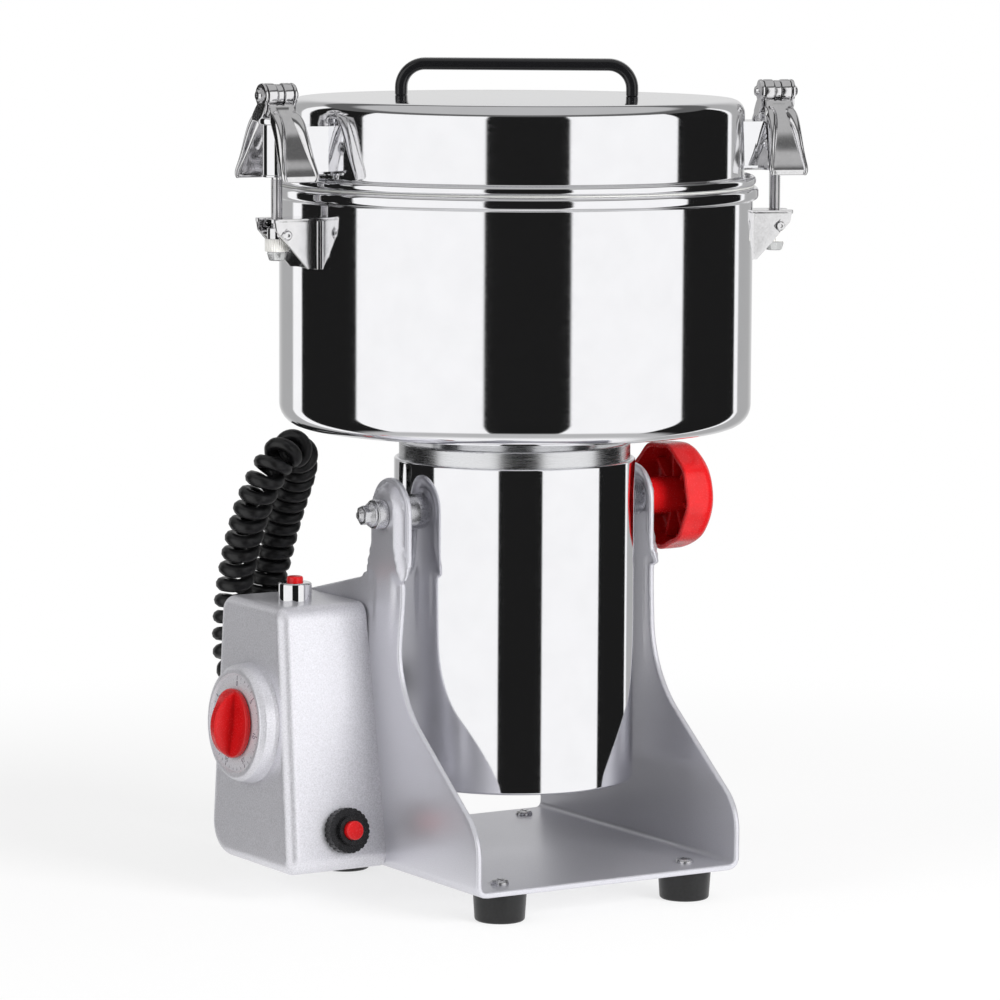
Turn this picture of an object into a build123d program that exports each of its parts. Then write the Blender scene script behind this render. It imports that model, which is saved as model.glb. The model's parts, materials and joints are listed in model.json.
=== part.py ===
from build123d import *
import os
from math import asin, atan2, cos, degrees, hypot, pi, radians, sin, sqrt, tan

# Swing-type electric grain mill: a stainless bowl on a mirror-finished motor, which tilts in a
# pressed steel cradle.  Millimetres, +Z up, the table at Z = 0, the tilt axis along X.

# ---- driving dimensions --------------------------------------------------------------------
# where the motor axis stands from the middle of the whole mill's width and depth
axis_x, axis_y = 6.5, 0.0

# clearances
running_gap = 0.1          # pins and shafts in their bores
side_gap = 0.3             # faces that pass each other
fit_gap = 0.05             # screws in the parts they hold
button_gap = 0.25          # buttons in their guides

# cradle
cradle_depth = 186.0
cradle_sheet = 3.0
cradle_bend = 6.0
pivot_height = 196.0
cheek_front_height = 32.0
cheek_slope = 37.0
cheek_corner = 25.0
cheek_elbow = 52.0
neck_half_width = 15.3
ear_radius = 18.0
ear_rim = 5.0
ear_step = 4.0
ear_drop = 33.0
foot_height = 15.0
foot_radius = 13.5
foot_inset_x = 23.0        # foot centres in from the cradle's sides and ends
foot_inset_y = 16.0
screw_radius = 2.0
screw_head_radius = 4.5
screw_head_height = 2.2
screw_length = 12.0

# motor
motor_radius = 61.5
motor_wall = 1.5
motor_bottom = 56.5
motor_top = 221.0
collar_inset = 2.5
collar_height = 8.5
neck_radius = 42.0
neck_height = 8.5
cover_sheet = 3.0
trunnion_radius = 9.0
trunnion_reach = 13.2
pivot_bush_radius = 7.5
pivot_bush_length = 12.7
pivot_bolt_radius = 2.5
journal_radius = 5.0
stud_radius = 3.5
shaft_radius = 6.0
stack_length = 50.0
stack_bottom = 102.0
armature_radius = 29.5
air_gap = 1.5
pole_width = 46.0
slot_depth = 14.0
coil_height = 10.0
commutator_radius = 16.0
commutator_length = 16.0
bearing_radius = 14.0
bearing_width = 9.0
fan_gap = 10.0

# bowl and lid
bowl_radius = 120.0
bowl_wall = 1.5
bowl_floor = 2.0
bowl_corner = 11.0
bowl_height = 121.5
bowl_screw_depth = 8.0
bead_height = 6.5
bead_reach = 2.8
bead_round = 2.2
gasket_height = 0.9
lid_inset = 4.5
lid_wall = 1.5
lip_reach = 1.5
lip_height = 4.5
lid_height = 44.5
lid_crown = 1.6
lid_corner = 8.0
spigot_depth = 10.0
spigot_gap = 0.7
lip_round = 1.8
handle_length = 123.0
handle_height = 18.5
handle_width = 13.0
handle_thickness = 6.2
handle_corner = 12.0
handle_turn = -34.0

# rotor blades
blade_width = 22.0
blade_sheet = 3.0
blade_gaps = (20.5, 30.5, 43.5)    # tips of the three blades to the bowl's wall
blade_turns = (20.0, 110.0, 65.0)
blade_rises = (5.0, 9.0, 13.0)
blade_pitch = 15.0
first_blade_lift = 9.0
spindle_radius = 8.0

# latches: swing bolts that hinge on brackets of the bowl and clamp forks of the lid
latch_turns = (178.0, -19.0)
bolt_offset = 16.0         # bolt line outside the bowl wall
bolt_radius = 3.0
latch_pin_radius = 2.0
bracket_width = 22.0
bracket_sheet = 2.0
bracket_height = 25.0
bracket_drop = 13.5        # shelf top below the bowl's rim
shelf_reach = 24.0
shelf_corner = 5.0
pin_drop = 8.0             # hinge pin below the shelf top
barrel_radius = 4.8
barrel_half = 3.3
adjuster_radius = 5.5
adjuster_height = 5.2
tail_height = 4.4
tail_radius = 5.0
fork_width = 26.0
fork_height = 23.5
fork_reach = 15.5
fork_lift = 3.0            # fork above the lid's lip
sleeve_radius = 7.0
saddle_radius = 9.0
saddle_height = 4.0
saddle_gap = 0.5
eye_lift = 14.5            # eye centre above the saddle's top
eye_radius = 5.5
wing_sheet = 2.2
wing_ear = 2.6
wing_head = 6.5
wing_length = 41.0
wing_tip_width = 19.0

# control box
box_top_width = 49.0
box_bottom_width = 56.0
box_top_front = 17.0
box_bottom_front = -6.0
box_back = 81.0
box_bottom = 16.0
box_top = 149.0
box_wall = 2.5
box_round = 7.0
box_back_round = 18.0
boss_radius = 30.0
boss_height = 8.0
dial_radius = 25.0
dial_sheet = 0.6
dial_y, dial_z = 43.0, 88.0
knob_radius = 17.0
knob_base = 4.5
knob_height = 20.0
grip_thickness = 11.0
timer_shaft_radius = 3.0
breaker_out, breaker_z = 23.0, 37.0
breaker_radius = 11.5
breaker_neck = 7.2
breaker_front = 8.5
breaker_button_radius = 4.8
breaker_travel = 2.0
switch_out, switch_y = 29.0, 38.0
bezel_radius = 8.5
bezel_height = 10.0
switch_button_radius = 4.15
switch_travel = 2.0

# lock knob
lock_radius = 28.0
lock_depth = 19.5
lock_wall = 5.5
lock_near = 10.0           # rim clear of the ear
lock_hub_radius = 9.5
lock_lobes = 10
lock_scallop = 2.4

# curly cord
coil_radius = 10.0
gland_radius = 8.0
box_gland_out, box_gland_z = 26.0, 100.0
box_gland_length = 6.0
mains_gland_z = 54.0
mains_gland_length = 14.0
mains_bore_radius = 3.8
motor_gland_z = 90.0
motor_gland_length = 12.0
coil_split_x = -50.0
coil_split_y = 118.0

# ---- worked-out sizes ----------------------------------------------------------------------
cheek_inner = motor_radius + trunnion_reach + side_gap
cheek_x = cheek_inner + cradle_sheet
breaker_x = -cheek_x - breaker_out
switch_x = -cheek_x - switch_out
box_gland_x = -cheek_x - box_gland_out
plate_top = foot_height + cradle_sheet
motor_inner = motor_radius - motor_wall
collar_radius = motor_radius - collar_inset
fan_radius = motor_inner - fan_gap
block_end = cheek_inner - side_gap
collar_top = motor_top + collar_height
bowl_bottom = collar_top + neck_height
bowl_inner = bowl_radius - bowl_wall
lid_radius = bowl_radius - lid_inset
lip_radius = bowl_radius + lip_reach
bowl_top = bowl_bottom + bowl_height
bead_bottom = bowl_top - bead_height
lip_bottom = bowl_top + gasket_height
lip_top = lip_bottom + lip_height
lid_top = lip_bottom + lid_height
crown_radius = (lid_radius ** 2 + lid_crown ** 2) / (2 * lid_crown)
seal_radius = shaft_radius + 6
bolt_circle = bowl_radius + bolt_offset
shelf_top = bowl_top - bracket_drop
shelf_bottom = shelf_top - bracket_sheet
hinge_z = shelf_top - pin_drop
fork_bottom = lip_top + fork_lift
fork_top = fork_bottom + fork_height
saddle_bottom = fork_top + saddle_gap
saddle_top = saddle_bottom + saddle_height
eye_z = saddle_top + eye_lift - saddle_height
box_slope = degrees(atan2(box_top_front - box_bottom_front, box_top - box_bottom))
box_draft = degrees(atan2(box_bottom_width - box_top_width, box_top - box_bottom))


# ---- shape helpers -------------------------------------------------------------------------
def outline(points, rounds=()):
    """Closed face through the points; each (corner, radius) of rounds is rounded."""
    face = make_face(Polyline(*points, close=True))
    for corner, radius in rounds:
        near = face.vertices().sort_by_distance(Vector(*points[corner]))[0]
        face = fillet(near, radius)
    return face


def turned(points, rounds=()):
    """Solid of revolution about Z from (radius, height) points."""
    return revolve(Plane.XZ * outline(points, rounds), Axis.Z)


def ring(outer, inner, low, high):
    return Pos(0, 0, low) * extrude(Circle(outer) - Circle(inner), high - low)


def disc(radius, low, high):
    return Pos(0, 0, low) * extrude(Circle(radius), high - low)


def along_x(radius, start, end, y=0.0, z=pivot_height):
    """Round bar along X between two places."""
    across = Plane(origin=(start, y, z), x_dir=(0, 1, 0), z_dir=(1, 0, 0))
    return across * extrude(Circle(radius), end - start)


def side_prism(face, start, end):
    """Extrude a face drawn in (Y, Z) along X."""
    return Plane.YZ.offset(start) * extrude(face, end - start)


def block(low, high):
    size = [b - a for a, b in zip(low, high)]
    middle = [(a + b) / 2 for a, b in zip(low, high)]
    return Pos(*middle) * Box(*size)


def stadium(radius, drop):
    """Round-topped tab in (Y, Z) about the tilt axis, straight down to drop below it."""
    tab = Circle(radius) + Pos(0, -drop / 2) * Rectangle(2 * radius, drop)
    return Pos(0, pivot_height) * tab


# ---- cradle --------------------------------------------------------------------------------
def cheek_outline(with_box_plate):
    """Side view of one cheek: round pad on top, S-curved edges, full depth at the bottom."""
    half = cradle_depth / 2
    corner_height = foot_height + cheek_front_height
    pad = ear_radius - ear_rim
    shoulder = pivot_height - ear_drop
    neck = neck_half_width
    elbow = corner_height + (half - neck) * tan(radians(cheek_slope))
    front = [(-half, foot_height), (-half, corner_height), (-neck, elbow), (-neck, shoulder)]
    rounds = [(1, cheek_corner), (2, cheek_elbow)]
    if with_box_plate:
        back = [(ear_radius, shoulder), (box_back + 5, box_top - 2), (half, box_top - 18)]
        back.append((half, foot_height))
        rounds += [(5, 8), (6, 6)]
    else:
        back = [(neck, shoulder), (neck, elbow), (half, corner_height), (half, foot_height)]
        rounds += [(5, cheek_elbow), (6, cheek_corner)]
    return outline(front + back, rounds) + stadium(pad, ear_drop + 1)


def make_cradle():
    """One pressed sheet: floor, two cheeks, and ears whose rims step in around a raised pad."""
    top = pivot_height + ear_radius
    inner_bend = cradle_bend - cradle_sheet
    face = outline(
        [(-cheek_x, foot_height), (cheek_x, foot_height), (cheek_x, top), (cheek_inner, top),
         (cheek_inner, plate_top), (-cheek_inner, plate_top), (-cheek_inner, top), (-cheek_x, top)],
        [(0, cradle_bend), (1, cradle_bend), (4, inner_bend), (5, inner_bend)],
    )
    sheet = Plane.XZ.offset(-cradle_depth / 2) * extrude(face, cradle_depth)
    left = sheet & side_prism(cheek_outline(True), -cheek_x - 1, 0)
    right = sheet & side_prism(cheek_outline(False), 0, cheek_x + 1)
    cradle = left + right
    inner_face = cheek_inner - ear_step
    pad_radius = ear_radius - ear_rim
    for side, pin_radius in ((-1, journal_radius), (1, stud_radius)):
        bore = pin_radius + running_gap
        pocket = stadium(pad_radius - cradle_sheet, ear_drop + 1)
        ear = side_prism(stadium(ear_radius, ear_drop), inner_face, inner_face + cradle_sheet)
        ear += side_prism(stadium(pad_radius, ear_drop), inner_face, cheek_x)
        ear -= side_prism(pocket, inner_face - 1, cheek_inner)
        ear -= along_x(bore, inner_face - 1, cheek_x + 1)
        if side < 0:
            ear = ear.rotate(Axis.Z, 180)
        cradle -= side_prism(pocket, side * (inner_face - 1), side * cheek_inner)
        cradle -= along_x(bore, side * (inner_face - 1), side * (cheek_x + 1))
        cradle += ear
    for x, y in foot_places():
        cradle -= Pos(x, y, 0) * disc(screw_radius + fit_gap, 0, plate_top + 1)
    for y, z in box_screw_places():
        cradle -= along_x(screw_radius + fit_gap, -cheek_x - 1, -cheek_inner + 1, y, z)
    return cradle


def foot_places():
    foot_x = cheek_x - foot_inset_x
    foot_y = cradle_depth / 2 - foot_inset_y
    return [(x * foot_x, y * foot_y) for x in (-1, 1) for y in (-1, 1)]


def make_feet():
    foot = turned(
        [(0, 0), (foot_radius - 1, 0), (foot_radius, foot_height), (0, foot_height)], [(1, 1.5)]
    )
    foot -= disc(screw_radius + fit_gap, plate_top - screw_length, foot_height + 1)
    return [Pos(x, y, 0) * foot for x, y in foot_places()]


def pan_head_screw(length):
    """Pan-head screw standing on Z = 0 with its shank below."""
    radius, height = screw_head_radius, screw_head_height
    head = turned([(0, 0), (radius, 0), (radius, height), (0, height)], [(2, height * 0.8)])
    slot = Box(1, radius * 1.2, 1.6) + Box(radius * 1.2, 1, 1.6)
    return head - Pos(0, 0, height) * slot + disc(screw_radius, -length, 0.5)


def box_screw_places():
    """Screws through the left cheek into the control box, as (Y, Z)."""
    return [(16, 70), (box_back - 16, 46), (box_back - 16, box_top - 16)]


def make_cradle_screws():
    foot_screw = pan_head_screw(screw_length)
    screws = [Pos(x, y, plate_top) * foot_screw for x, y in foot_places()]
    box_screw = pan_head_screw(screw_length)
    for y, z in box_screw_places():
        screws.append(Pos(-cheek_inner, y, z) * Rot(0, 90, 0) * box_screw)
    return screws


# ---- control box ---------------------------------------------------------------------------
def box_block(inset):
    """The box's tapered block, inset on every side except the one against the cheek."""
    def rim(z, front, width):
        low = (-cheek_x - width + inset, front + inset)
        high = (-cheek_x, box_back - inset)
        middle = ((low[0] + high[0]) / 2, (low[1] + high[1]) / 2, z)
        return Pos(*middle) * Rectangle(high[0] - low[0], high[1] - low[1])

    return loft([rim(box_bottom + inset, box_bottom_front, box_bottom_width),
                 rim(box_top - inset, box_top_front, box_top_width)])


def rounded_box(inset):
    """The tapered block with its outer edges rounded, so that every inset keeps one wall."""
    def low_and_back(edge):
        return (edge @ 0.5).Y - (edge @ 0.5).Z

    solid = box_block(inset)
    crosswise = solid.edges().filter_by(Axis.X).sort_by(low_and_back)
    solid = fillet(crosswise[:-1], box_round + 1 - inset)
    back_low = solid.edges().filter_by(Axis.X).sort_by(low_and_back)[-1]
    solid = fillet(back_low, box_back_round - inset)
    outer_face = solid.faces().sort_by(Axis.X)[0]
    return fillet(outer_face.edges(), box_round - 1 - inset)


def box_face_y(z):
    share = (z - box_bottom) / (box_top - box_bottom)
    return box_bottom_front + share * (box_top_front - box_bottom_front)


def box_face_x(z):
    share = (z - box_bottom) / (box_top - box_bottom)
    return -cheek_x - box_bottom_width + share * (box_bottom_width - box_top_width)


def dial_plane():
    """Plane on the outer face at the dial, its normal pointing out."""
    normal = (-cos(radians(box_draft)), 0, sin(radians(box_draft)))
    return Plane(origin=(box_face_x(dial_z), dial_y, dial_z), x_dir=(0, -1, 0), z_dir=normal)


def breaker_plane():
    """Plane on the front face at the breaker, its normal pointing out."""
    normal = (0, -cos(radians(box_slope)), sin(radians(box_slope)))
    return Plane(origin=(breaker_x, box_face_y(breaker_z), breaker_z), x_dir=(1, 0, 0), z_dir=normal)


def switch_plane():
    return Plane(origin=(switch_x, switch_y, box_top), x_dir=(1, 0, 0), z_dir=(0, 0, 1))


def make_control_box():
    """Hollow casting, open against the cheek, with a bevelled boss for the dial."""
    shell = rounded_box(0) - rounded_box(box_wall)
    boss = turned([(0, -1), (boss_radius + 1, -1), (boss_radius, 2), (boss_radius - 1, boss_height - 2.5),
                   (boss_radius - 4, boss_height), (0, boss_height)])
    shell += dial_plane() * boss
    shell -= dial_plane() * disc(timer_shaft_radius + running_gap, -10, boss_height + 1)
    shell -= breaker_plane() * disc(breaker_neck, -10, 5)
    shell -= switch_plane() * disc(bezel_radius - 2, -10, 5)
    for place in box_gland_places():
        shell -= place * disc(gland_radius - 2, -10, 5)
    for y, z in box_screw_places():
        end = -cheek_x - screw_length - 4
        post = along_x(screw_radius + 3, end, -cheek_x, y, z)
        wall_y = y + 30 if y > dial_y else y - 30
        web = block((end, min(y, wall_y), z - 1.5), (-cheek_x, max(y, wall_y), z + 1.5)) & rounded_box(0)
        hole = along_x(screw_radius + fit_gap, -cheek_x - screw_length, -cheek_x + 1, y, z)
        shell = shell + (post + web) - hole
    return shell


def make_timer():
    """Clockwork timer body behind the dial, with its shaft's bore."""
    front = -box_wall - side_gap
    body = Pos(0, 0, front - 9) * extrude(RectangleRounded(40, 40, 4), 9)
    body += Pos(0, 0, front - 24) * extrude(Circle(18), 15)
    body -= disc(timer_shaft_radius + running_gap, front - 12, 1)
    return dial_plane() * body


def make_timer_shaft():
    return dial_plane() * disc(timer_shaft_radius, -box_wall - 11, boss_height + knob_height - 6)


def make_dial_plate():
    plate = ring(dial_radius, timer_shaft_radius + 1, boss_height, boss_height + dial_sheet)
    return dial_plane() * plate


def make_timer_knob():
    """Round skirt with a waisted cross grip."""
    low = boss_height + dial_sheet + side_gap
    brim = low + knob_base
    skirt = turned([(0, low), (knob_radius, low), (knob_radius - 1, brim), (0, brim + 2)], [(2, 0.9)])
    flank = knob_radius * 2.1
    grip = RectangleRounded(2 * knob_radius - 2, 2 * knob_radius - 2, knob_radius - 1.2)
    for side in (-1, 1):
        grip -= Pos(side * (flank + grip_thickness / 2 - 1.5), 0) * Circle(flank)
    handle = Pos(0, 0, low + 2) * extrude(grip, knob_height - 2)
    handle = fillet(handle.faces().sort_by(Axis.Z)[-1].edges(), 1.5)
    knob = skirt + handle
    knob -= disc(timer_shaft_radius + fit_gap, 0, boss_height + knob_height - 5.5)
    return dial_plane() * Rot(0, 0, 72) * knob


def make_breaker_body():
    """Thermal breaker: threaded neck through the wall and a body with two tabs behind it."""
    back = -box_wall - 18
    body = disc(breaker_neck - fit_gap, -box_wall, breaker_front)
    body += disc(breaker_neck + 1.8, back, -box_wall)
    for side in (-1, 1):
        body += block((side * 4 - 0.5, -3, back - 8), (side * 4 + 0.5, 3, back))
    body -= disc(breaker_button_radius + button_gap, breaker_front - 12, breaker_front + 1)
    return breaker_plane() * body


def make_breaker_nut():
    """Knurled ring nut."""
    nut = Circle(breaker_radius)
    for notch in PolarLocations(breaker_radius + 0.5, 24):
        nut -= notch * Circle(0.95)
    nut -= Circle(breaker_neck)
    return breaker_plane() * extrude(nut, 5.5)


def make_reset_button():
    radius, low, top = breaker_button_radius, breaker_front - 8, breaker_front + 3
    button = turned([(0, low), (radius, low), (radius, top), (0, top)], [(2, 0.8)])
    return breaker_plane() * button


def make_switch_bezel():
    bore, radius, top = switch_button_radius + button_gap, bezel_radius, bezel_height
    return switch_plane() * turned([(bore, 0), (radius, 0), (radius, top), (bore, top)], [(2, 1.2)])


def make_switch_body():
    body = disc(bezel_radius - 2 - fit_gap, -18, 0)
    body += disc(bezel_radius, -18, -box_wall)
    for side in (-1, 1):
        body += block((side * 4 - 0.4, -2.5, -26), (side * 4 + 0.4, 2.5, -18))
    body -= disc(switch_button_radius + button_gap, -8, 1)
    return switch_plane() * body


def make_push_button():
    top = bezel_height + 3
    cap = turned([(0, -4), (switch_button_radius, -4), (switch_button_radius, top), (0, top)], [(2, 1)])
    return switch_plane() * cap


def make_terminal_block():
    """Four-way terminal strip standing on the box floor."""
    floor = box_bottom + box_wall
    left, right = -cheek_x - 13.5, -cheek_x - 2
    strip = block((left, 18, floor), (right, 58, floor + 7))
    for pole in range(4):
        y = 23 + pole * 10
        strip += block((left + 2, y - 3.5, floor + 7), (right - 2, y + 3.5, floor + 15))
    return strip


# ---- motor ---------------------------------------------------------------------------------
def make_motor_housing():
    """Mirror-finished tube with an in-turned bottom lip and the trunnions' and gland's holes."""
    tube = turned([(motor_inner, motor_bottom), (motor_radius, motor_bottom), (motor_radius, motor_top),
                   (motor_inner, motor_top)], [(1, 1), (2, 1)])
    tube -= along_x(trunnion_radius - 4, -motor_radius - 5, motor_radius + 5)
    gland_hole = Pos(0, motor_inner - 5, motor_gland_z) * Rot(-90, 0, 0) * disc(gland_radius - 2, 0, 12)
    return tube - gland_hole


def make_trunnion_blocks():
    """Round bosses on the housing, each with a stem through it and a flange inside."""
    blocks = []
    tube = disc(motor_radius, motor_bottom, motor_top)
    inside = disc(motor_inner, motor_bottom, motor_top)
    for side in (-1, 1):
        boss = along_x(trunnion_radius, side * (motor_inner - 4), side * block_end) - tube
        stem = along_x(trunnion_radius - 4, side * (motor_inner - 5), side * block_end)
        flange = along_x(trunnion_radius, side * (motor_inner - 5), side * motor_inner) & inside
        bore_radius = pivot_bolt_radius + fit_gap if side < 0 else stud_radius + running_gap
        bore = along_x(bore_radius, side * (block_end - 12), side * (block_end + 1))
        blocks.append(boss + stem + flange - bore)
    return blocks


def make_bottom_cover():
    """Pressed cover with radial vents and the lower bearing's cup."""
    low = motor_bottom + 1
    cup = bearing_radius + 3
    seat = low + cover_sheet
    cover = turned(
        [(shaft_radius + 3, low), (motor_inner, low), (motor_inner, low + 8), (motor_inner - 3, low + 8),
         (motor_inner - 3, seat), (cup, seat), (cup, seat + bearing_width),
         (bearing_radius, seat + bearing_width), (bearing_radius, seat), (shaft_radius + 3, seat)]
    )
    vent = Pos((cup + motor_inner) / 2, 0, low) * extrude(SlotOverall(motor_inner - cup - 14, 5), 4)
    for place in PolarLocations(0, 16):
        cover -= place * vent
    return cover


def make_top_cover():
    """Cast end bracket: collar above the housing, neck under the bowl, upper bearing's cup."""
    inside = motor_top - bearing_width - 1
    cup = bearing_radius + 3
    return turned(
        [(shaft_radius + 3, motor_top + 1), (bearing_radius, motor_top + 1), (bearing_radius, inside),
         (cup, inside), (cup, motor_top - 3), (motor_inner - 3, motor_top - 3), (motor_inner - 3, inside),
         (motor_inner, inside), (motor_inner, motor_top), (collar_radius, motor_top),
         (collar_radius, collar_top), (neck_radius, collar_top), (neck_radius, bowl_bottom),
         (neck_radius - 8, bowl_bottom),
         (neck_radius - 8, motor_top + 5), (cup, motor_top + 5), (cup, bowl_bottom),
         (seal_radius + 1, bowl_bottom), (seal_radius + 1, motor_top + 4), (shaft_radius + 3, motor_top + 4)],
        [(10, 1.2)],
    )


def make_bearings():
    low_seat = motor_bottom + 4
    high_seat = motor_top + 1 - bearing_width
    bearing = turned([(shaft_radius + running_gap, 0), (bearing_radius, 0), (bearing_radius, bearing_width),
                      (shaft_radius + running_gap, bearing_width)])
    groove = ring(bearing_radius - 2, shaft_radius + 2.5, -1, 0.6)
    bearing = bearing - groove - Pos(0, 0, bearing_width) * mirror(groove, Plane.XY)
    return [Pos(0, 0, low_seat) * bearing, Pos(0, 0, high_seat) * bearing]


def make_stator():
    """Laminated stack: round outside, two field poles inside and the windings' slots between."""
    bore = armature_radius + air_gap
    slot = Circle(bore + slot_depth) - Rectangle(2 * (bore + slot_depth), pole_width)
    stack = Circle(motor_inner - side_gap) - Circle(bore) - slot
    return Pos(0, 0, stack_bottom) * extrude(stack, stack_length)


def make_coils():
    """Field windings: one through each slot, standing out of the stack above and below."""
    bore = armature_radius + air_gap
    arc = Circle(bore + slot_depth - side_gap) - Circle(bore + side_gap)
    coils = []
    for side in (-1, 1):
        middle = side * (pole_width / 2 + side_gap + bore)
        wedge = Pos(0, middle) * Rectangle(2 * (bore + slot_depth), 2 * bore)
        winding = extrude(arc & wedge, stack_length + 2 * coil_height)
        coils.append(Pos(0, 0, stack_bottom - coil_height) * winding)
    return coils


def make_brush_holders():
    """Two brass brush tubes fixed to the housing either side of the commutator."""
    z = stack_bottom + stack_length + coil_height + 6 + commutator_length / 2
    holders = []
    for side in (-1, 1):
        tube = block((-5, commutator_radius + 3, z - 6), (5, motor_inner - 2, z + 6))
        flange = block((-12, motor_inner - 6, z - 6), (12, motor_inner + 1, z + 6))
        tube += flange & disc(motor_inner, 0, motor_top)
        tube -= block((-3.5, 0, z - 4.5), (3.5, motor_inner - 6, z + 4.5))
        holders.append(Rot(0, 0, 90 + side * 90) * tube)
    return holders


def make_brushes():
    z = stack_bottom + stack_length + coil_height + 6 + commutator_length / 2
    brush = block((-3.4, commutator_radius - 1, z - 4.4), (3.4, commutator_radius + 18, z + 4.4))
    brush -= disc(commutator_radius + side_gap, z - 10, z + 10)
    return [brush, Rot(0, 0, 180) * brush]


# ---- rotor ---------------------------------------------------------------------------------
def spindle_levels():
    """Bottom of each blade."""
    return [bowl_bottom + bowl_floor + first_blade_lift + i * blade_pitch for i in range(3)]


def make_shaft():
    """Motor shaft, its larger spindle in the bowl, and the threaded end."""
    shoulder = bowl_bottom + bowl_floor + first_blade_lift - 5
    top = spindle_levels()[-1] + blade_sheet + 13
    return turned(
        [(0, motor_bottom + 5), (shaft_radius, motor_bottom + 5), (shaft_radius, shoulder),
         (spindle_radius + 5, shoulder), (spindle_radius + 5, shoulder + 5), (spindle_radius, shoulder + 5),
         (spindle_radius, top - 12), (spindle_radius - 2, top - 12), (spindle_radius - 2, top), (0, top)],
        [(8, 1)],
    )


def make_armature():
    """Laminated core with the slots of its winding."""
    core = Circle(armature_radius)
    for place in PolarLocations(armature_radius - 5, 12):
        core -= place * SlotOverall(9, 3)
    core -= Circle(shaft_radius)
    return Pos(0, 0, stack_bottom) * extrude(core, stack_length)


def make_commutator():
    low = stack_bottom + stack_length + coil_height + 6
    bars = Circle(commutator_radius)
    for place in PolarLocations(commutator_radius, 12):
        bars -= place * Rectangle(3, 0.8)
    return Pos(0, 0, low) * extrude(bars - Circle(shaft_radius), commutator_length)


def make_fan():
    """Cooling fan: hub, disc and straight radial blades."""
    low = motor_bottom + 4 + bearing_width + 4
    fan = ring(fan_radius, shaft_radius, low, low + 2)
    fan += ring(12, shaft_radius, low, low + 12)
    blade = block((11, -1, low + 1), (fan_radius - 1, 1, low + 12))
    for place in PolarLocations(0, 9):
        fan += place * blade
    return fan


def make_blade(index):
    """Swept-tip blade: flat bar with sharpened ends bent up."""
    half, rise = bowl_inner - blade_gaps[index], blade_rises[index]
    bend = half * 0.62
    low = spindle_levels()[index]
    side = outline(
        [(-half, rise), (-bend, 0), (bend, 0), (half, rise), (half, rise + blade_sheet),
         (bend, blade_sheet), (-bend, blade_sheet), (-half, rise + blade_sheet)]
    )
    bar = Plane.XZ.offset(-blade_width / 2) * extrude(side, blade_width)
    plan = outline(
        [(-half - 1, -blade_width / 2), (half - 14, -blade_width / 2), (half + 1, 2),
         (half + 1, blade_width / 2), (-half + 14, blade_width / 2), (-half - 1, -2)]
    )
    bar = bar & Pos(0, 0, -1) * extrude(plan, rise + blade_sheet + 2)
    bar -= disc(spindle_radius, -1, blade_sheet + 1)
    return Pos(0, 0, low) * Rot(0, 0, blade_turns[index]) * bar


def make_spacers():
    levels = spindle_levels()
    return [ring(spindle_radius + 4, spindle_radius, low + blade_sheet, high)
            for low, high in zip(levels, levels[1:])]


def make_blade_nut():
    """Domed hexagon nut with its washer."""
    low = spindle_levels()[-1] + blade_sheet
    washer = ring(spindle_radius + 4, spindle_radius, low, low + 1)
    nut = Pos(0, 0, low + 1) * extrude(RegularPolygon(spindle_radius + 3.5, 6), 9)
    nut += Pos(0, 0, low + 10) * extrude(Circle(spindle_radius + 2), 4, taper=25)
    nut -= disc(spindle_radius - 2, low, low + 13)
    nut -= disc(spindle_radius, low, low + 1)
    return washer + nut


# ---- bowl and lid --------------------------------------------------------------------------
def make_bowl():
    """Deep-drawn pan with a rolled rim and a hole for the spindle's seal."""
    bead = bowl_radius + bead_reach
    floor = bowl_bottom + bowl_floor
    return turned(
        [(seal_radius, bowl_bottom), (bowl_radius, bowl_bottom), (bowl_radius, bead_bottom),
         (bead, bead_bottom), (bead, bowl_top), (bowl_inner, bowl_top), (bowl_inner, floor),
         (seal_radius, floor)],
        [(1, bowl_corner), (3, bead_round), (4, bead_round), (6, bowl_corner - bowl_wall)],
    )


def make_shaft_seal():
    """Rubber seal of the spindle, with a lip on the bowl's floor."""
    low = motor_top + 4
    floor = bowl_bottom + bowl_floor
    high = floor + 3
    bore = shaft_radius + running_gap
    return turned(
        [(bore, low), (seal_radius, low), (seal_radius, floor), (seal_radius + 3, floor),
         (seal_radius + 2, high), (bore, high)]
    )


def bowl_screw_places():
    return [Rot(0, 0, 45 + 90 * i) * Pos(neck_radius - 4, 0, 0) for i in range(4)]


def make_bowl_screws():
    screw = Pos(0, 0, bowl_bottom + bowl_floor) * pan_head_screw(bowl_floor + bowl_screw_depth)
    return [place * screw for place in bowl_screw_places()]


def drill_bowl_screws(solid):
    low = bowl_bottom - bowl_screw_depth - 0.5
    for place in bowl_screw_places():
        solid -= place * disc(screw_radius + fit_gap, low, bowl_bottom + bowl_floor + 1)
    return solid


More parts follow.
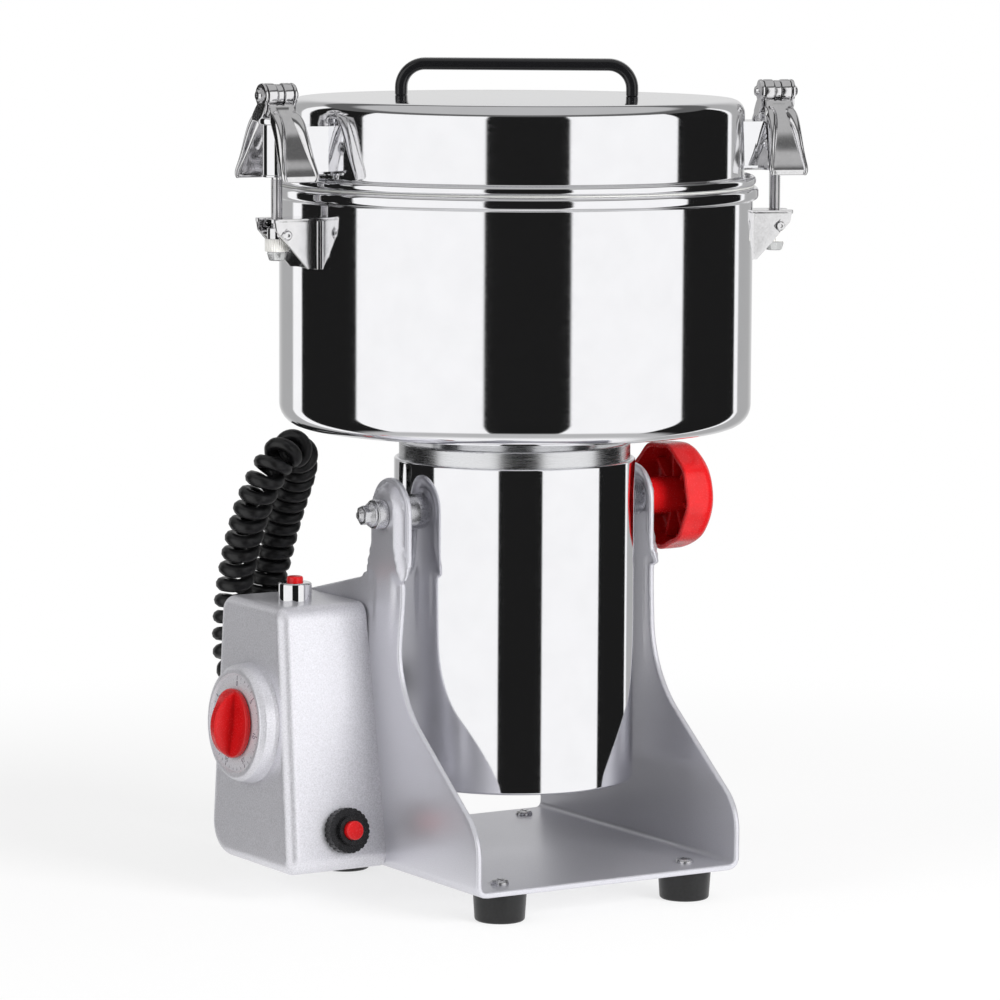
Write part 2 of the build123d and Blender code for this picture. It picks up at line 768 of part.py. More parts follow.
def make_lid():
    """Crowned lid with a band, a rolled lip and a spigot that enters the bowl."""
    inner = lid_radius - lid_wall
    spigot = bowl_inner - spigot_gap
    spigot_bottom = lip_bottom - spigot_depth
    crown_out = lid_arc(crown_radius, lid_radius)
    crown_in = lid_arc(crown_radius - lid_wall, inner)
    flank = Polyline(
        crown_out @ 0, (lid_radius, lip_top), (lip_radius, lip_top), (lip_radius, lip_bottom),
        (spigot, lip_bottom), (spigot, spigot_bottom), (inner, spigot_bottom), crown_in @ 0)
    centre = Line(crown_in @ 1, crown_out @ 1)
    face = make_face(Curve() + [crown_out, flank, crown_in, centre])
    rounds = [(crown_out @ 0, lid_corner), (crown_in @ 0, lid_corner - lid_wall)]
    rounds += [(Vector(lip_radius, z), lip_round) for z in (lip_top, lip_bottom)]
    for corner, radius in rounds:
        face = fillet(face.vertices().sort_by_distance(corner)[0], radius)
    shell = revolve(Plane.XZ * face, Axis.Z)
    for x, y in handle_feet():
        shell -= Pos(x, y, 0) * disc(screw_radius + fit_gap, lip_top, lid_top + 1)
    return shell


def lid_arc(radius, reach):
    """Crown's arc from a place at reach up to the lid's axis, in (radius, height)."""
    turn = degrees(asin(reach / radius))
    return CenterArc((0, lid_top - crown_radius), radius, 90 - turn, turn)


def handle_feet():
    reach = (handle_length - handle_thickness) / 2
    turn = radians(handle_turn)
    return [(side * reach * cos(turn), side * reach * sin(turn)) for side in (-1, 1)]


def lid_surface(radius):
    """Height of the lid's outer face at a radius inside the edge round."""
    return lid_top - crown_radius + sqrt(crown_radius ** 2 - radius ** 2)


def make_handle():
    """Flat-oval bow bent down at both ends."""
    reach = (handle_length - handle_thickness) / 2
    foot = lid_surface(reach) - 2
    bar = lid_top + handle_height - handle_thickness / 2
    corners = [(-reach, 0, foot), (-reach, 0, bar), (reach, 0, bar), (reach, 0, foot)]
    path = FilletPolyline(*corners, radius=handle_corner)
    start = Plane(origin=corners[0], x_dir=(0, 1, 0), z_dir=(0, 0, 1))
    section = start * Ellipse(handle_width / 2, handle_thickness / 2)
    bow = Rot(0, 0, handle_turn) * sweep(section, path=path)
    bow -= Pos(0, 0, lid_top - crown_radius) * Sphere(crown_radius)
    for x, y in handle_feet():
        bow -= Pos(x, y, 0) * disc(screw_radius + fit_gap, foot, lid_top + 9)
    return bow


def make_handle_screws():
    screws = []
    for x, y in handle_feet():
        under = lid_surface(hypot(x, y)) - lid_wall - 0.25
        screw = Rot(180, 0, 0) * pan_head_screw(10)
        screws.append(Pos(x, y, under) * screw)
    return screws


def make_gasket():
    return ring(lip_radius - 1, bowl_inner - 0.5, bowl_top + 0.15, lip_bottom)


def make_forks():
    """Blocks on the lid's band, each with a mouth that a swing bolt's sleeve lies in."""
    forks = []
    centre = bolt_circle
    end = lid_radius + fork_reach
    mouth = sleeve_radius + 0.75
    body = Pos((lid_radius - 6 + end) / 2, 0) * Rectangle(end - lid_radius + 6, fork_width)
    body = fillet(body.vertices().sort_by(Axis.X)[-2:], 3)
    body -= Pos(centre, 0) * Circle(mouth)
    body -= Pos(centre + 10, 0) * Rectangle(20, 2 * mouth)
    fork = Pos(0, 0, fork_bottom) * extrude(body, fork_height)
    flange_face = Pos(end / 2, 0) * Rectangle(end, fork_width + 4) - Pos(centre, 0) * Circle(mouth)
    flange = Pos(0, 0, fork_bottom) * extrude(flange_face, 1.2)
    fork = fork + flange - disc(lid_radius, fork_bottom - 1, fork_top + 1)
    for turn in latch_turns:
        forks.append(Rot(0, 0, turn) * fork)
    return forks


# ---- latches -------------------------------------------------------------------------------
def make_latch_brackets():
    """Folded brackets on the bowl: a wall plate, an open-slotted shelf and two gussets."""
    half = bracket_width / 2
    low = shelf_top - bracket_height
    inside = disc(bowl_radius, 0, shelf_top + 1)
    wall = ring(bowl_radius + bracket_sheet - 0.5, bowl_radius, low, shelf_top)
    wall = wall & block((bowl_radius - 20, -half, low), (bowl_radius + 10, half, shelf_top))
    reach = bowl_radius + shelf_reach
    shelf_face = Pos(reach / 2, 0) * Rectangle(reach, bracket_width)
    shelf_face = fillet(shelf_face.vertices().sort_by(Axis.X)[-2:], shelf_corner)
    slot = bolt_radius + 0.7
    shelf_face -= Pos(bolt_circle, 0) * Circle(slot)
    shelf_face -= Pos(bolt_circle + 15, 0) * Rectangle(30, 2 * slot)
    shelf = Pos(0, 0, shelf_bottom) * extrude(shelf_face, bracket_sheet) - inside
    gusset_face = outline(
        [(bowl_radius, shelf_bottom), (reach - 1.5, shelf_bottom), (reach - 2.5, shelf_bottom - 4),
         (bowl_radius + 3, low), (bowl_radius, low)]
    )
    gusset = Plane.XZ.offset(-half) * extrude(gusset_face, bracket_sheet) - inside
    bracket = wall + shelf + gusset + mirror(gusset, Plane.XZ)
    bracket -= Pos(bolt_circle, 0, hinge_z) * Rot(90, 0, 0) * Cylinder(latch_pin_radius, bracket_width + 5)
    return [Rot(0, 0, turn) * bracket for turn in latch_turns]


def make_latch_pins():
    half = bracket_width / 2
    shank = Cylinder(latch_pin_radius, bracket_width)
    head = Pos(0, 0, half + 0.6) * Cylinder(latch_pin_radius + 1.2, 1.2)
    pin = Pos(bolt_circle, 0, hinge_z) * Rot(90, 0, 0) * (shank + head + mirror(head, Plane.XY))
    return [Rot(0, 0, turn) * pin for turn in latch_turns]


def bolt_part(solid, turn):
    """Place a solid made about the bolt's own line onto the latch circle."""
    return Rot(0, 0, turn) * Pos(bolt_circle, 0, 0) * solid


def make_swing_bolt(turn):
    """Bolt with a cross-bored barrel at its foot and an eye on top."""
    barrel = disc(barrel_radius, hinge_z - barrel_half, hinge_z + barrel_half)
    shank = disc(bolt_radius, hinge_z - barrel_half - adjuster_height - 1, eye_z)
    eye = Pos(0, 0, eye_z) * Rot(0, 90, 0) * Cylinder(eye_radius, 6.4)
    bolt = barrel + shank + eye
    bolt -= Pos(0, 0, hinge_z) * Rot(90, 0, 0) * Cylinder(latch_pin_radius + running_gap, 30)
    bolt -= Pos(0, 0, eye_z) * Rot(0, 90, 0) * Cylinder(latch_pin_radius, 30)
    return bolt_part(bolt, turn)


def make_eye_pin(turn):
    """Headed pin through the eye, which both wing levers turn on."""
    half = wing_outer() + 0.4
    pin = Cylinder(latch_pin_radius, 2 * half)
    pin += Pos(0, 0, half + 0.5) * Cylinder(latch_pin_radius + 1.6, 1.4)
    pin += Pos(0, 0, -half - 0.5) * Cylinder(latch_pin_radius + 1.6, 1.4)
    return bolt_part(Pos(0, 0, eye_z) * Rot(0, 90, 0) * pin, turn)


def make_saddle(turn):
    """Polished sleeve in the fork's mouth with a round saddle above it."""
    sleeve = ring(sleeve_radius, bolt_radius + fit_gap, fork_bottom - 0.5, saddle_bottom)
    flange = ring(sleeve_radius + 0.5, bolt_radius + fit_gap, fork_bottom - 1.7, fork_bottom - 0.5)
    saddle = turned([(bolt_radius + fit_gap, saddle_bottom), (saddle_radius, saddle_bottom),
                     (saddle_radius, saddle_top), (bolt_radius + fit_gap, saddle_top)], [(1, 1), (2, 1.2)])
    return bolt_part(sleeve + flange + saddle, turn)


def make_adjuster(turn):
    """Ribbed plastic adjusting nut with a clear faceted tail."""
    top = hinge_z - barrel_half
    low = top - adjuster_height
    nut = disc(adjuster_radius, low, top)
    tail = Pos(0, 0, low - tail_height) * extrude(RegularPolygon(tail_radius, 8), tail_height)
    adjuster = nut + tail - disc(bolt_radius + fit_gap, low - 1, top + 1)
    return bolt_part(adjuster, turn)


def wing_side(turn):
    """Which way along the bowl's rim a latch's rear lever hangs."""
    return 1 if cos(radians(turn)) > 0 else -1


def wing_inner(front):
    """Inner face of a lever's ears, from the bolt's line."""
    return 3.4 if front else 3.4 + wing_ear + side_gap


def wing_outer():
    return wing_inner(False) + wing_ear


def make_wing(turn, front):
    """Clamping lever: two ears on the eye pin, and a plate that flares to a lipped tip."""
    side = -wing_side(turn) if front else wing_side(turn)
    path = [(7, -6), (14.5, -15), (22, -32), (24, -36), (28.5, -wing_length)]
    outer = [(t + wing_sheet * 0.9, z + wing_sheet * 0.45) for t, z in path]
    section = outline(path + outer[::-1], [(1, 4), (2, 4), (7, 4), (8, 4)])
    plate = Plane.YZ.offset(-wing_tip_width) * extrude(section, 2 * wing_tip_width)
    top_half = wing_outer()
    tip_half = wing_tip_width / 2
    right = [(tip_half - 2, -wing_length - 2), (tip_half, -wing_length + 4), (top_half - 1.5, -14)]
    right.append((top_half, 0))
    face = outline([(-x, z) for x, z in reversed(right)] + right)
    trim = Plane.XZ.offset(-50) * extrude(face, 60)
    plate = plate & trim
    inner = wing_inner(front)
    arm = outline([(-2, -6), (4, -wing_head + 0.5), (14.2, -15), (16.5, -15), (8, -3), (4, 5)])
    cheek = Circle(wing_head) + arm
    for mirrored in (1, -1):
        start = inner if mirrored > 0 else -inner - wing_ear
        plate += Plane.YZ.offset(start) * extrude(cheek, wing_ear)
    plate -= Rot(0, 90, 0) * Cylinder(latch_pin_radius + running_gap, 60)
    if side < 0:
        plate = mirror(plate, Plane.XZ)
    return bolt_part(Pos(0, 0, eye_z) * plate, turn)


# ---- tilt pivot and lock -------------------------------------------------------------------
def make_pivot_bush():
    """Stepped bush: its journal turns in the left ear."""
    start = -cheek_x - side_gap
    bush = along_x(pivot_bush_radius, start - pivot_bush_length, start)
    bush += along_x(journal_radius, start, -block_end)
    return bush - along_x(pivot_bolt_radius + fit_gap, start - pivot_bush_length - 1, -block_end + 1)


def make_pivot_bolt():
    """Bolt through the bush with a domed hexagon head."""
    head = -cheek_x - side_gap - pivot_bush_length
    bolt = along_x(pivot_bolt_radius, head, -block_end + 11)
    bolt += along_x(pivot_bolt_radius + 2.4, head - 1.2, head)
    hexagon = Plane(origin=(head - 1.2, 0, pivot_height), x_dir=(0, 1, 0), z_dir=(-1, 0, 0))
    bolt += hexagon * extrude(RegularPolygon(pivot_bolt_radius + 2.1, 6), 4.5)
    bolt += hexagon * Pos(0, 0, 4.5) * extrude(Circle(pivot_bolt_radius + 1.2), 2.5, taper=30)
    return bolt


def make_lock_stud():
    return along_x(stud_radius, block_end - 10, cheek_x + lock_near + lock_depth - 4)


def make_lock_knob():
    """Scalloped hollow knob: rim, end wall, hub and radial ribs, open towards the ear."""
    near = lock_near
    far = near + lock_depth
    rim = Circle(lock_radius)
    scallop = lock_radius * 0.42
    for place in PolarLocations(lock_radius + scallop - lock_scallop, lock_lobes):
        rim -= place * Circle(scallop)
    knob = Pos(0, 0, near) * extrude(rim, lock_depth)
    knob = fillet(knob.faces().sort_by(Axis.Z)[-1].edges(), 2.2)
    knob -= disc(lock_radius - lock_wall, near - 1, far - lock_wall)
    knob += disc(lock_hub_radius, side_gap + 0.2, far - lock_wall + 0.5)
    inner_face = far - lock_wall + 0.5
    rib = block((lock_hub_radius - 1, -1.25, near + 2), (lock_radius - lock_wall + 1, 1.25, inner_face))
    for place in PolarLocations(0, 6):
        knob += place * rib
    knob -= disc(stud_radius, 0, far - 4)
    return Plane(origin=(cheek_x, 0, pivot_height), x_dir=(0, 1, 0), z_dir=(1, 0, 0)) * knob


# ---- curly cord ----------------------------------------------------------------------------
def cord_tube(points):
    """Fat tube along straight runs joined by tangent arcs; prints each arc's radius."""
    places = [Vector(*p) for p in points]
    radii = []
    for before, here, after in zip(places, places[1:], places[2:]):
        turn = radians((here - before).get_angle(after - here))
        radii.append(0.45 * min((here - before).length, (after - here).length) / tan(turn / 2))
    print("cord radii", [round(r, 1) for r in radii])
    path = FilletPolyline(*points, radius=radii)
    start = Plane(origin=path @ 0, z_dir=path % 0)
    tube = sweep(start * Circle(coil_radius), path=path)
    share = tube.volume / (path.length * pi * coil_radius ** 2)
    print("cord length", round(path.length, 1), "volume share", round(share, 4))
    return tube


def make_box_side_coil():
    """From the box's gland up, over, and down beside the cheek to the split plane."""
    exit_y = box_back + box_gland_length
    return cord_tube([
        (box_gland_x, exit_y, box_gland_z), (box_gland_x, 104, box_gland_z), (-105, 111, 115),
        (-105, 107, 146), (-105, 98, 170), (-104.5, 89, 189), (-102.5, 81, 204), (-97.5, 76.5, 216),
        (-87.5, 78.5, 223),
        (-77.5, 85.5, 219.5), (-73.5, 94, 208.5), (-73.5, 103.5, 194), (-74.5, 111.5, 177), (-77, 117, 156),
        (-81, 121.5, 134), (-84, 122.5, 113), (-79, 119, 97), (-66, coil_split_y, motor_gland_z),
        (coil_split_x, coil_split_y, motor_gland_z)])


def make_motor_side_coil():
    """From the motor's gland back, then along X to the split plane."""
    start_y = motor_radius + motor_gland_length
    return cord_tube([(0, start_y, motor_gland_z), (0, coil_split_y, motor_gland_z),
                      (coil_split_x, coil_split_y, motor_gland_z)])


def gland(length):
    """Strain relief standing on Z = 0: a flange, a tapered sleeve and the bore for the cord."""
    stem = gland_radius - 2 - fit_gap
    flange = gland_radius + 1.5
    return turned(
        [(0, -3), (stem, -3), (stem, 0), (flange, 0), (flange, 2), (gland_radius, 2.5),
         (gland_radius - 1, length), (0, length)]
    )


def box_gland_places():
    """On the back wall: the curly cord's gland, and the mains inlet's below it."""
    return [Pos(box_gland_x, box_back, z) * Rot(-90, 0, 0) for z in (box_gland_z, mains_gland_z)]


def make_box_glands():
    cord_place, mains_place = box_gland_places()
    mains = gland(mains_gland_length) - disc(mains_bore_radius, -4, mains_gland_length + 1)
    return [cord_place * gland(box_gland_length), mains_place * mains]


def make_motor_gland():
    """Strain relief seated on the round housing, its stem through the housing's hole."""
    place = Pos(0, motor_radius, motor_gland_z) * Rot(-90, 0, 0)
    sleeve = place * gland(motor_gland_length) - disc(motor_radius, 0, motor_top)
    return sleeve + place * disc(gland_radius - 2 - fit_gap, -4, 1)


# ---- assembly ------------------------------------------------------------------------------
def assembly():
    """Every piece by its node name."""
    pieces = {
        "cradle": make_cradle(),
        "rubber_feet": make_feet(),
        "cradle_screws": make_cradle_screws(),
        "control_box": make_control_box(),
        "timer_body": make_timer(),
        "dial_plate": make_dial_plate(),
        "timer_knob": [make_timer_knob(), make_timer_shaft()],
        "breaker_body": make_breaker_body(),
        "breaker_nut": make_breaker_nut(),
        "reset_button": make_reset_button(),
        "switch_body": make_switch_body(),
        "switch_bezel": make_switch_bezel(),
        "push_button": make_push_button(),
        "terminal_block": make_terminal_block(),
        "box_gland": make_box_glands(),
        "curly_cord_box_side": make_box_side_coil(),
        "curly_cord_motor_side": make_motor_side_coil(),
        "motor_gland": make_motor_gland(),
        "motor_housing": make_motor_housing(),
        "bottom_cover": make_bottom_cover(),
        "top_cover": drill_bowl_screws(make_top_cover()),
        "trunnion_blocks": make_trunnion_blocks(),
        "stator_core": make_stator(),
        "field_coils": make_coils(),
        "rotor_bearings": make_bearings(),
        "brush_holders": make_brush_holders(),
        "carbon_brushes": make_brushes(),
        "rotor_shaft": make_shaft(),
        "armature_core": make_armature(),
        "commutator": make_commutator(),
        "cooling_fan": make_fan(),
        "lower_blade": make_blade(0),
        "middle_blade": make_blade(1),
        "upper_blade": make_blade(2),
        "blade_spacers": make_spacers(),
        "blade_nut": make_blade_nut(),
        "bowl": drill_bowl_screws(make_bowl()),
        "bowl_screws": make_bowl_screws(),
        "shaft_seal": make_shaft_seal(),
        "latch_brackets": make_latch_brackets(),
        "latch_pins": make_latch_pins(),
        "lid_shell": make_lid(),
        "lid_gasket": make_gasket(),
        "lid_handle": make_handle(),
        "handle_screws": make_handle_screws(),
        "lid_forks": make_forks(),
        "pivot_bush": make_pivot_bush(),
        "pivot_bolt": make_pivot_bolt(),
        "lock_knob": [make_lock_knob(), make_lock_stud()],
    }
    for side, turn in zip(("left", "right"), latch_turns):
        pieces[f"{side}_swing_bolt"] = [make_swing_bolt(turn), make_eye_pin(turn)]
        pieces[f"{side}_saddle"] = make_saddle(turn)
        pieces[f"{side}_adjuster"] = make_adjuster(turn)
        pieces[f"{side}_front_wing"] = make_wing(turn, True)
        pieces[f"{side}_rear_wing"] = make_wing(turn, False)
    return pieces


def solids_of(piece):
    """The separate solids of one node, from one shape or a list of shapes."""
    shapes = piece if isinstance(piece, list) else [piece]
    return [solid for shape in shapes for solid in shape.solids()]


if __name__ == "__main__":
    os.makedirs("parts", exist_ok=True)
    for name, piece in assembly().items():
        solids = [Pos(axis_x, axis_y, 0) * solid for solid in solids_of(piece)]
        shape = solids[0] if len(solids) == 1 else Compound(children=solids)
        export_step(shape, f"parts/{name}.step")
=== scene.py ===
"""Swing-type electric grain mill: finishes, detailed pieces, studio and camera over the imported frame.
"""
import json
from math import atan2, ceil, copysign, cos, hypot, pi, radians, sin, tan, tau

import bmesh
import bpy
from mathutils import Matrix, Vector
from mathutils.geometry import delaunay_2d_cdt


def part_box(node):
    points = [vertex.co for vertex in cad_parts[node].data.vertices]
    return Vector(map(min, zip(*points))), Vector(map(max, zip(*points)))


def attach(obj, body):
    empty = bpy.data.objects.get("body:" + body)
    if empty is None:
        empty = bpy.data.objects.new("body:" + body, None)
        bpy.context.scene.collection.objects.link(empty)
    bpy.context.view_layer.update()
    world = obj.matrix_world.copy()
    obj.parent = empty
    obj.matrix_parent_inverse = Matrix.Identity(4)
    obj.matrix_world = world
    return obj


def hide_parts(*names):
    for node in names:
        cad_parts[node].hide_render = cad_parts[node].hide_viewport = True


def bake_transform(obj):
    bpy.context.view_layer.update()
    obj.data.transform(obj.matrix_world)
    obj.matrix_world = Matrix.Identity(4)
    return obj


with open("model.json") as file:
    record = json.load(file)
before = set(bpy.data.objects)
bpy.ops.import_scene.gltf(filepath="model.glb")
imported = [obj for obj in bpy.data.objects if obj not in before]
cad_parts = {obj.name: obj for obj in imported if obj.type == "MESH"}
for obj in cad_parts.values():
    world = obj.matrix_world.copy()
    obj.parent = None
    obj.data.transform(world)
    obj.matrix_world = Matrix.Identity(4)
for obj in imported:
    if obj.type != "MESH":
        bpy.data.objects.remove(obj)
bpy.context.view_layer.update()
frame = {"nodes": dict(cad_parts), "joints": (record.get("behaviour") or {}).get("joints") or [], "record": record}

MM = 0.001


# ---- places and sizes read from the frame
def box(node):
    """Lowest and highest corner of a CAD node at rest."""
    low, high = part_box(node)
    return low / MM, high / MM


def joint_spot(name):
    return [value / MM for value in joints[name]["pos_m"]]


joints = {joint["name"]: joint for joint in frame["joints"]}
axis_x, _, pivot = joint_spot("tilt")
bowl_low, bowl_high = box("bowl")
lid_low, lid_high = box("lid_shell")
cradle_low, cradle_high = box("cradle")
bead_radius = (bowl_high.x - bowl_low.x) / 2
lip_radius = (lid_high.x - lid_low.x) / 2


def shift(x, y, z):
    return Matrix.Translation((x, y, z))


def turn(degrees, axis):
    return Matrix.Rotation(radians(degrees), 4, axis)


on_axis, on_pivot = shift(axis_x, 0, 0), shift(axis_x, 0, pivot)
upright_bar, outward_bar = turn(90, "X"), turn(90, "Y")  # lay a piece drawn about Z along Y, or along X
stood_up = Matrix(((0, 0, 1, 0), (1, 0, 0, 0), (0, 1, 0, 0), (0, 0, 0, 1)))  # X, Y, Z go to Y, Z, X


# ---- outlines
def arc(radius, start, end, step):
    """Points on a circle about the origin, from start to end in whole degrees."""
    return [(radius * cos(radians(a)), radius * sin(radians(a))) for a in range(start, end + 1, step)]


def circle(count, start=0.0):
    """Cosine and sine at equal steps round a circle."""
    return [(cos(tau * (k + start) / count), sin(tau * (k + start) / count)) for k in range(count)]


def rounded(points, radii, steps=7):
    """Outline in two coordinates with an arc at each corner that radii names by its index."""
    out = []
    count = len(points)
    for i, point in enumerate(points):
        here = Vector(point)
        if i not in radii:
            out.append(here)
            continue
        before = Vector(points[(i - 1) % count]) - here
        after = Vector(points[(i + 1) % count]) - here
        half = before.angle(after) / 2
        run = min(radii[i] / tan(half), before.length * 0.98, after.length * 0.98)
        radius = run * tan(half)
        middle = here + (before.normalized() + after.normalized()).normalized() * (radius / sin(half))
        start = here + before.normalized() * run - middle
        sweep = start.angle_signed(here + after.normalized() * run - middle)
        out += [middle + Matrix.Rotation(-sweep * k / steps, 2) @ start for k in range(steps + 1)]
    return out


def mirrored(half, middle=()):
    """Closed outline: the half below the X axis, what lies between, and the same half above."""
    return [*half, *middle, *((x, -y) for x, y in reversed(half))]


def directions(points):
    """Direction of an open line at each of its points."""
    spots = [Vector(point) for point in points]
    pairs = zip(spots[:1] + spots[:-1], spots[1:] + spots[-1:])
    return [(after - before).normalized() for before, after in pairs]


# ---- mesh helpers
def new_object(name, data):
    made = bpy.data.objects.new(name, data)
    bpy.context.scene.collection.objects.link(made)
    return made


def smooth(mesh, sharp=35):
    """Smooth shading, with edges over the sharp angle left crisp."""
    mesh.shade_smooth()
    mesh.set_sharp_from_angle(angle=radians(sharp))


def mesh_object(name, verts, faces, sharp=35):
    mesh = bpy.data.meshes.new(name)
    mesh.from_pydata([Vector(v) * MM for v in verts], [], faces)
    mesh.validate()
    fix = bmesh.new()
    fix.from_mesh(mesh)
    bmesh.ops.remove_doubles(fix, verts=fix.verts, dist=1e-7)
    bmesh.ops.recalc_face_normals(fix, faces=fix.faces)
    fix.to_mesh(mesh)
    fix.free()
    smooth(mesh, sharp)
    return new_object(name, mesh)


def evaluated(piece):
    """The mesh that an object's curve, text or modifiers make."""
    graph = bpy.context.evaluated_depsgraph_get()
    return bpy.data.meshes.new_from_object(piece.evaluated_get(graph))


def bake(piece):
    """Keep what the modifiers make as the piece's own mesh."""
    mesh = evaluated(piece)
    piece.modifiers.clear()
    old, piece.data = piece.data, mesh
    bpy.data.meshes.remove(old)


def dress(piece, place, body, finish, replaces=()):
    """Bring a piece to its place, give it its finish and body, and let it stand for its CAD nodes."""
    placed(piece, place)
    piece.data.materials.clear()
    piece.data.materials.append(finish)
    if replaces:
        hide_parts(*replaces)
    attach(piece, body)
    # normals weighted by face area, so flats stay flat beside their rounded edges
    piece.modifiers.new("normals", "WEIGHTED_NORMAL").keep_sharp = True
    bake(piece)


def placed(piece, matrix):
    """Move a piece's mesh by a matrix whose translation is in millimetres."""
    moved = matrix.copy()
    moved.translation = moved.translation * MM
    piece.data.transform(moved)
    return piece


def join(name, pieces):
    """One object from several."""
    joined = bmesh.new()
    for piece in pieces:
        joined.from_mesh(piece.data)
        bpy.data.objects.remove(piece)
    mesh = bpy.data.meshes.new(name)
    joined.to_mesh(mesh)
    joined.free()
    smooth(mesh)
    return new_object(name, mesh)


def soften(piece, width, angle=30):
    """Bevel the edges that turn by more than angle."""
    modifier = piece.modifiers.new("bevel", "BEVEL")
    modifier.width = width * MM
    modifier.segments = 2
    modifier.limit_method = "ANGLE"
    modifier.angle_limit = radians(angle)
    modifier.harden_normals = False
    bake(piece)
    smooth(piece.data)


def skin(name, rings, sharp=60, closed=True):
    """Surface over rings of equally many points, with flat ends; open rows make a sheet."""
    verts = [point for ring in rings for point in ring]
    size, last = len(rings[0]), len(verts) - len(rings[0])
    faces = []
    for start in range(0, last, size):
        for k in range(size if closed else size - 1):
            after = (k + 1) % size
            faces.append([start + k, start + after, start + size + after, start + size + k])
    if closed:
        faces += [list(range(size)), list(range(last, last + size))]
    return mesh_object(name, verts, faces, sharp)


def lathe(name, profile, segments=192, sharp=35):
    """Closed solid of revolution about Z, from (radius, height) points."""
    verts, rings = [], []
    for radius, height in profile:
        if radius < 1e-4:
            rings.append([len(verts)] * segments)
            verts.append((0, 0, height))
            continue
        rings.append(range(len(verts), len(verts) + segments))
        verts += [(radius * c, radius * s, height) for c, s in circle(segments)]
    faces = []
    for low, high in zip(rings, rings[1:] + rings[:1]):
        for k in range(segments):
            after = (k + 1) % segments
            unique = list(dict.fromkeys([low[k], low[after], high[after], high[k]]))
            if len(unique) > 2:
                faces.append(unique)
    return mesh_object(name, verts, faces, sharp)


def rod(name, radius, low, high, segments, radii=(), steps=3):
    """Solid round bar along Z; its rims are the profile's corners 1 and 2."""
    profile = [(0, low), (radius, low), (radius, high), (0, high)]
    return lathe(name, rounded(profile, dict(radii), steps), segments)


def prism(name, outline, low, high, bevel=0.0):
    """Outline in (x, y) raised from low to high, its edges bevelled."""
    count = len(outline)
    verts = [(x, y, low) for x, y in outline] + [(x, y, high) for x, y in outline]
    faces = [list(range(count)), list(range(count, 2 * count))]
    faces += [[k, (k + 1) % count, count + (k + 1) % count, count + k] for k in range(count)]
    piece = mesh_object(name, verts, faces)
    if bevel:
        soften(piece, bevel)
    return piece


# ---- finishes
class Tree:
    """Shader nodes of a material or world, wired by value."""

    def __init__(self, owner):
        owner.use_nodes = True
        self.nodes, self.links = owner.node_tree.nodes, owner.node_tree.links

    def add(self, kind, inputs=(), output=0, **settings):
        """A node with its inputs set or wired, in (name, value) pairs, and one of its outputs."""
        node = self.nodes.new(kind)
        for key, value in settings.items():
            setattr(node, key, value)
        self.feed(node, inputs)
        return node.outputs[output] if node.outputs else node

    def feed(self, node, inputs):
        for name, value in inputs:
            if isinstance(value, bpy.types.NodeSocket):
                self.links.new(value, node.inputs[name])
            else:
                node.inputs[name].default_value = value

    def math(self, operation, *values):
        return self.add("ShaderNodeMath", enumerate(values), operation=operation)

    def ramp(self, value, start, end, low=0.0, high=1.0, kind="SMOOTHSTEP"):
        """Value from start to end turned into low to high."""
        pairs = [("Value", value), ("From Min", start), ("From Max", end), ("To Min", low), ("To Max", high)]
        return self.add("ShaderNodeMapRange", pairs, interpolation_type=kind)

    def mix(self, share, first, second):
        return self.add("ShaderNodeMixShader", [(0, share), (1, first), (2, second)])

    def glow(self, strength):
        return self.add("ShaderNodeEmission", [("Strength", strength)])

    def matte(self, level):
        return self.add("ShaderNodeBsdfDiffuse", [("Color", (level, level, level, 1))])


noise_low, noise_high = 0.3, 0.7  # the range that a noise texture mostly keeps to
finish_of_slot = {}


def finish(name, slot, color, roughness, metal=0, rough=None, tone=None, relief=None, cells=None, sockets=()):
    """Node material on the object's own coordinates, in metres. The first of a slot goes to its CAD nodes.

    rough, tone and relief each hold a noise's scale and detail, the two numbers that it sets, and its stretch
    if it has one. The numbers are the least and most roughness, the darkest and lightest share of the colour,
    or the bump's depth and strength. cells hold a bump of rounded cells: its scale, depth and strength.
    """
    material = bpy.data.materials.new(name)
    material["slot"] = slot
    tree = Tree(material)
    place = tree.add("ShaderNodeTexCoord", output="Object")
    shader = tree.nodes["Principled BSDF"]
    tree.feed(shader, [("Base Color", (*color, 1)), ("Roughness", roughness), ("Metallic", metal), *sockets])

    def noise(scale, detail, first, second, stretch=None):
        """The noise, and the two numbers that it sets."""
        across = tree.add("ShaderNodeMapping", [("Vector", place), ("Scale", stretch)]) if stretch else place
        pairs = [("Vector", across), ("Scale", scale), ("Detail", detail)]
        return tree.add("ShaderNodeTexNoise", pairs), first, second

    def bump(height, depth, strength):
        normal = tree.add("ShaderNodeBump", [("Height", height), ("Distance", depth), ("Strength", strength)])
        tree.feed(shader, [("Normal", normal)])

    if rough:
        value, low, high = noise(*rough)
        level = tree.ramp(value, noise_low, noise_high, low, high, "LINEAR")
        tree.feed(shader, [("Roughness", level)])
    if tone:
        value, dark, light = noise(*tone)
        shade = tree.add("ShaderNodeValToRGB", [("Fac", value)])
        stops = shade.node.color_ramp.elements
        for stop, spot, share in zip(stops, (noise_low, noise_high), (dark, light)):
            stop.color = (*(min(1, c * share) for c in color), 1)
            stop.position = spot
        tree.feed(shader, [("Base Color", shade)])
    if relief:
        bump(*noise(*relief))
    if cells:
        scale, depth, strength = cells
        pairs = [("Vector", place), ("Scale", scale)]
        bump(tree.add("ShaderNodeTexVoronoi", pairs, feature="SMOOTH_F1"), depth, strength)
    finish_of_slot.setdefault(slot, material)
    return material


along_z = (0.2, 0.2, 1)  # stretches that run a noise round or along the axis
rings_z, sheets_z, turns_z = (0.03, 0.03, 1), (0.01, 0.01, 1), (0.05, 0.05, 1)

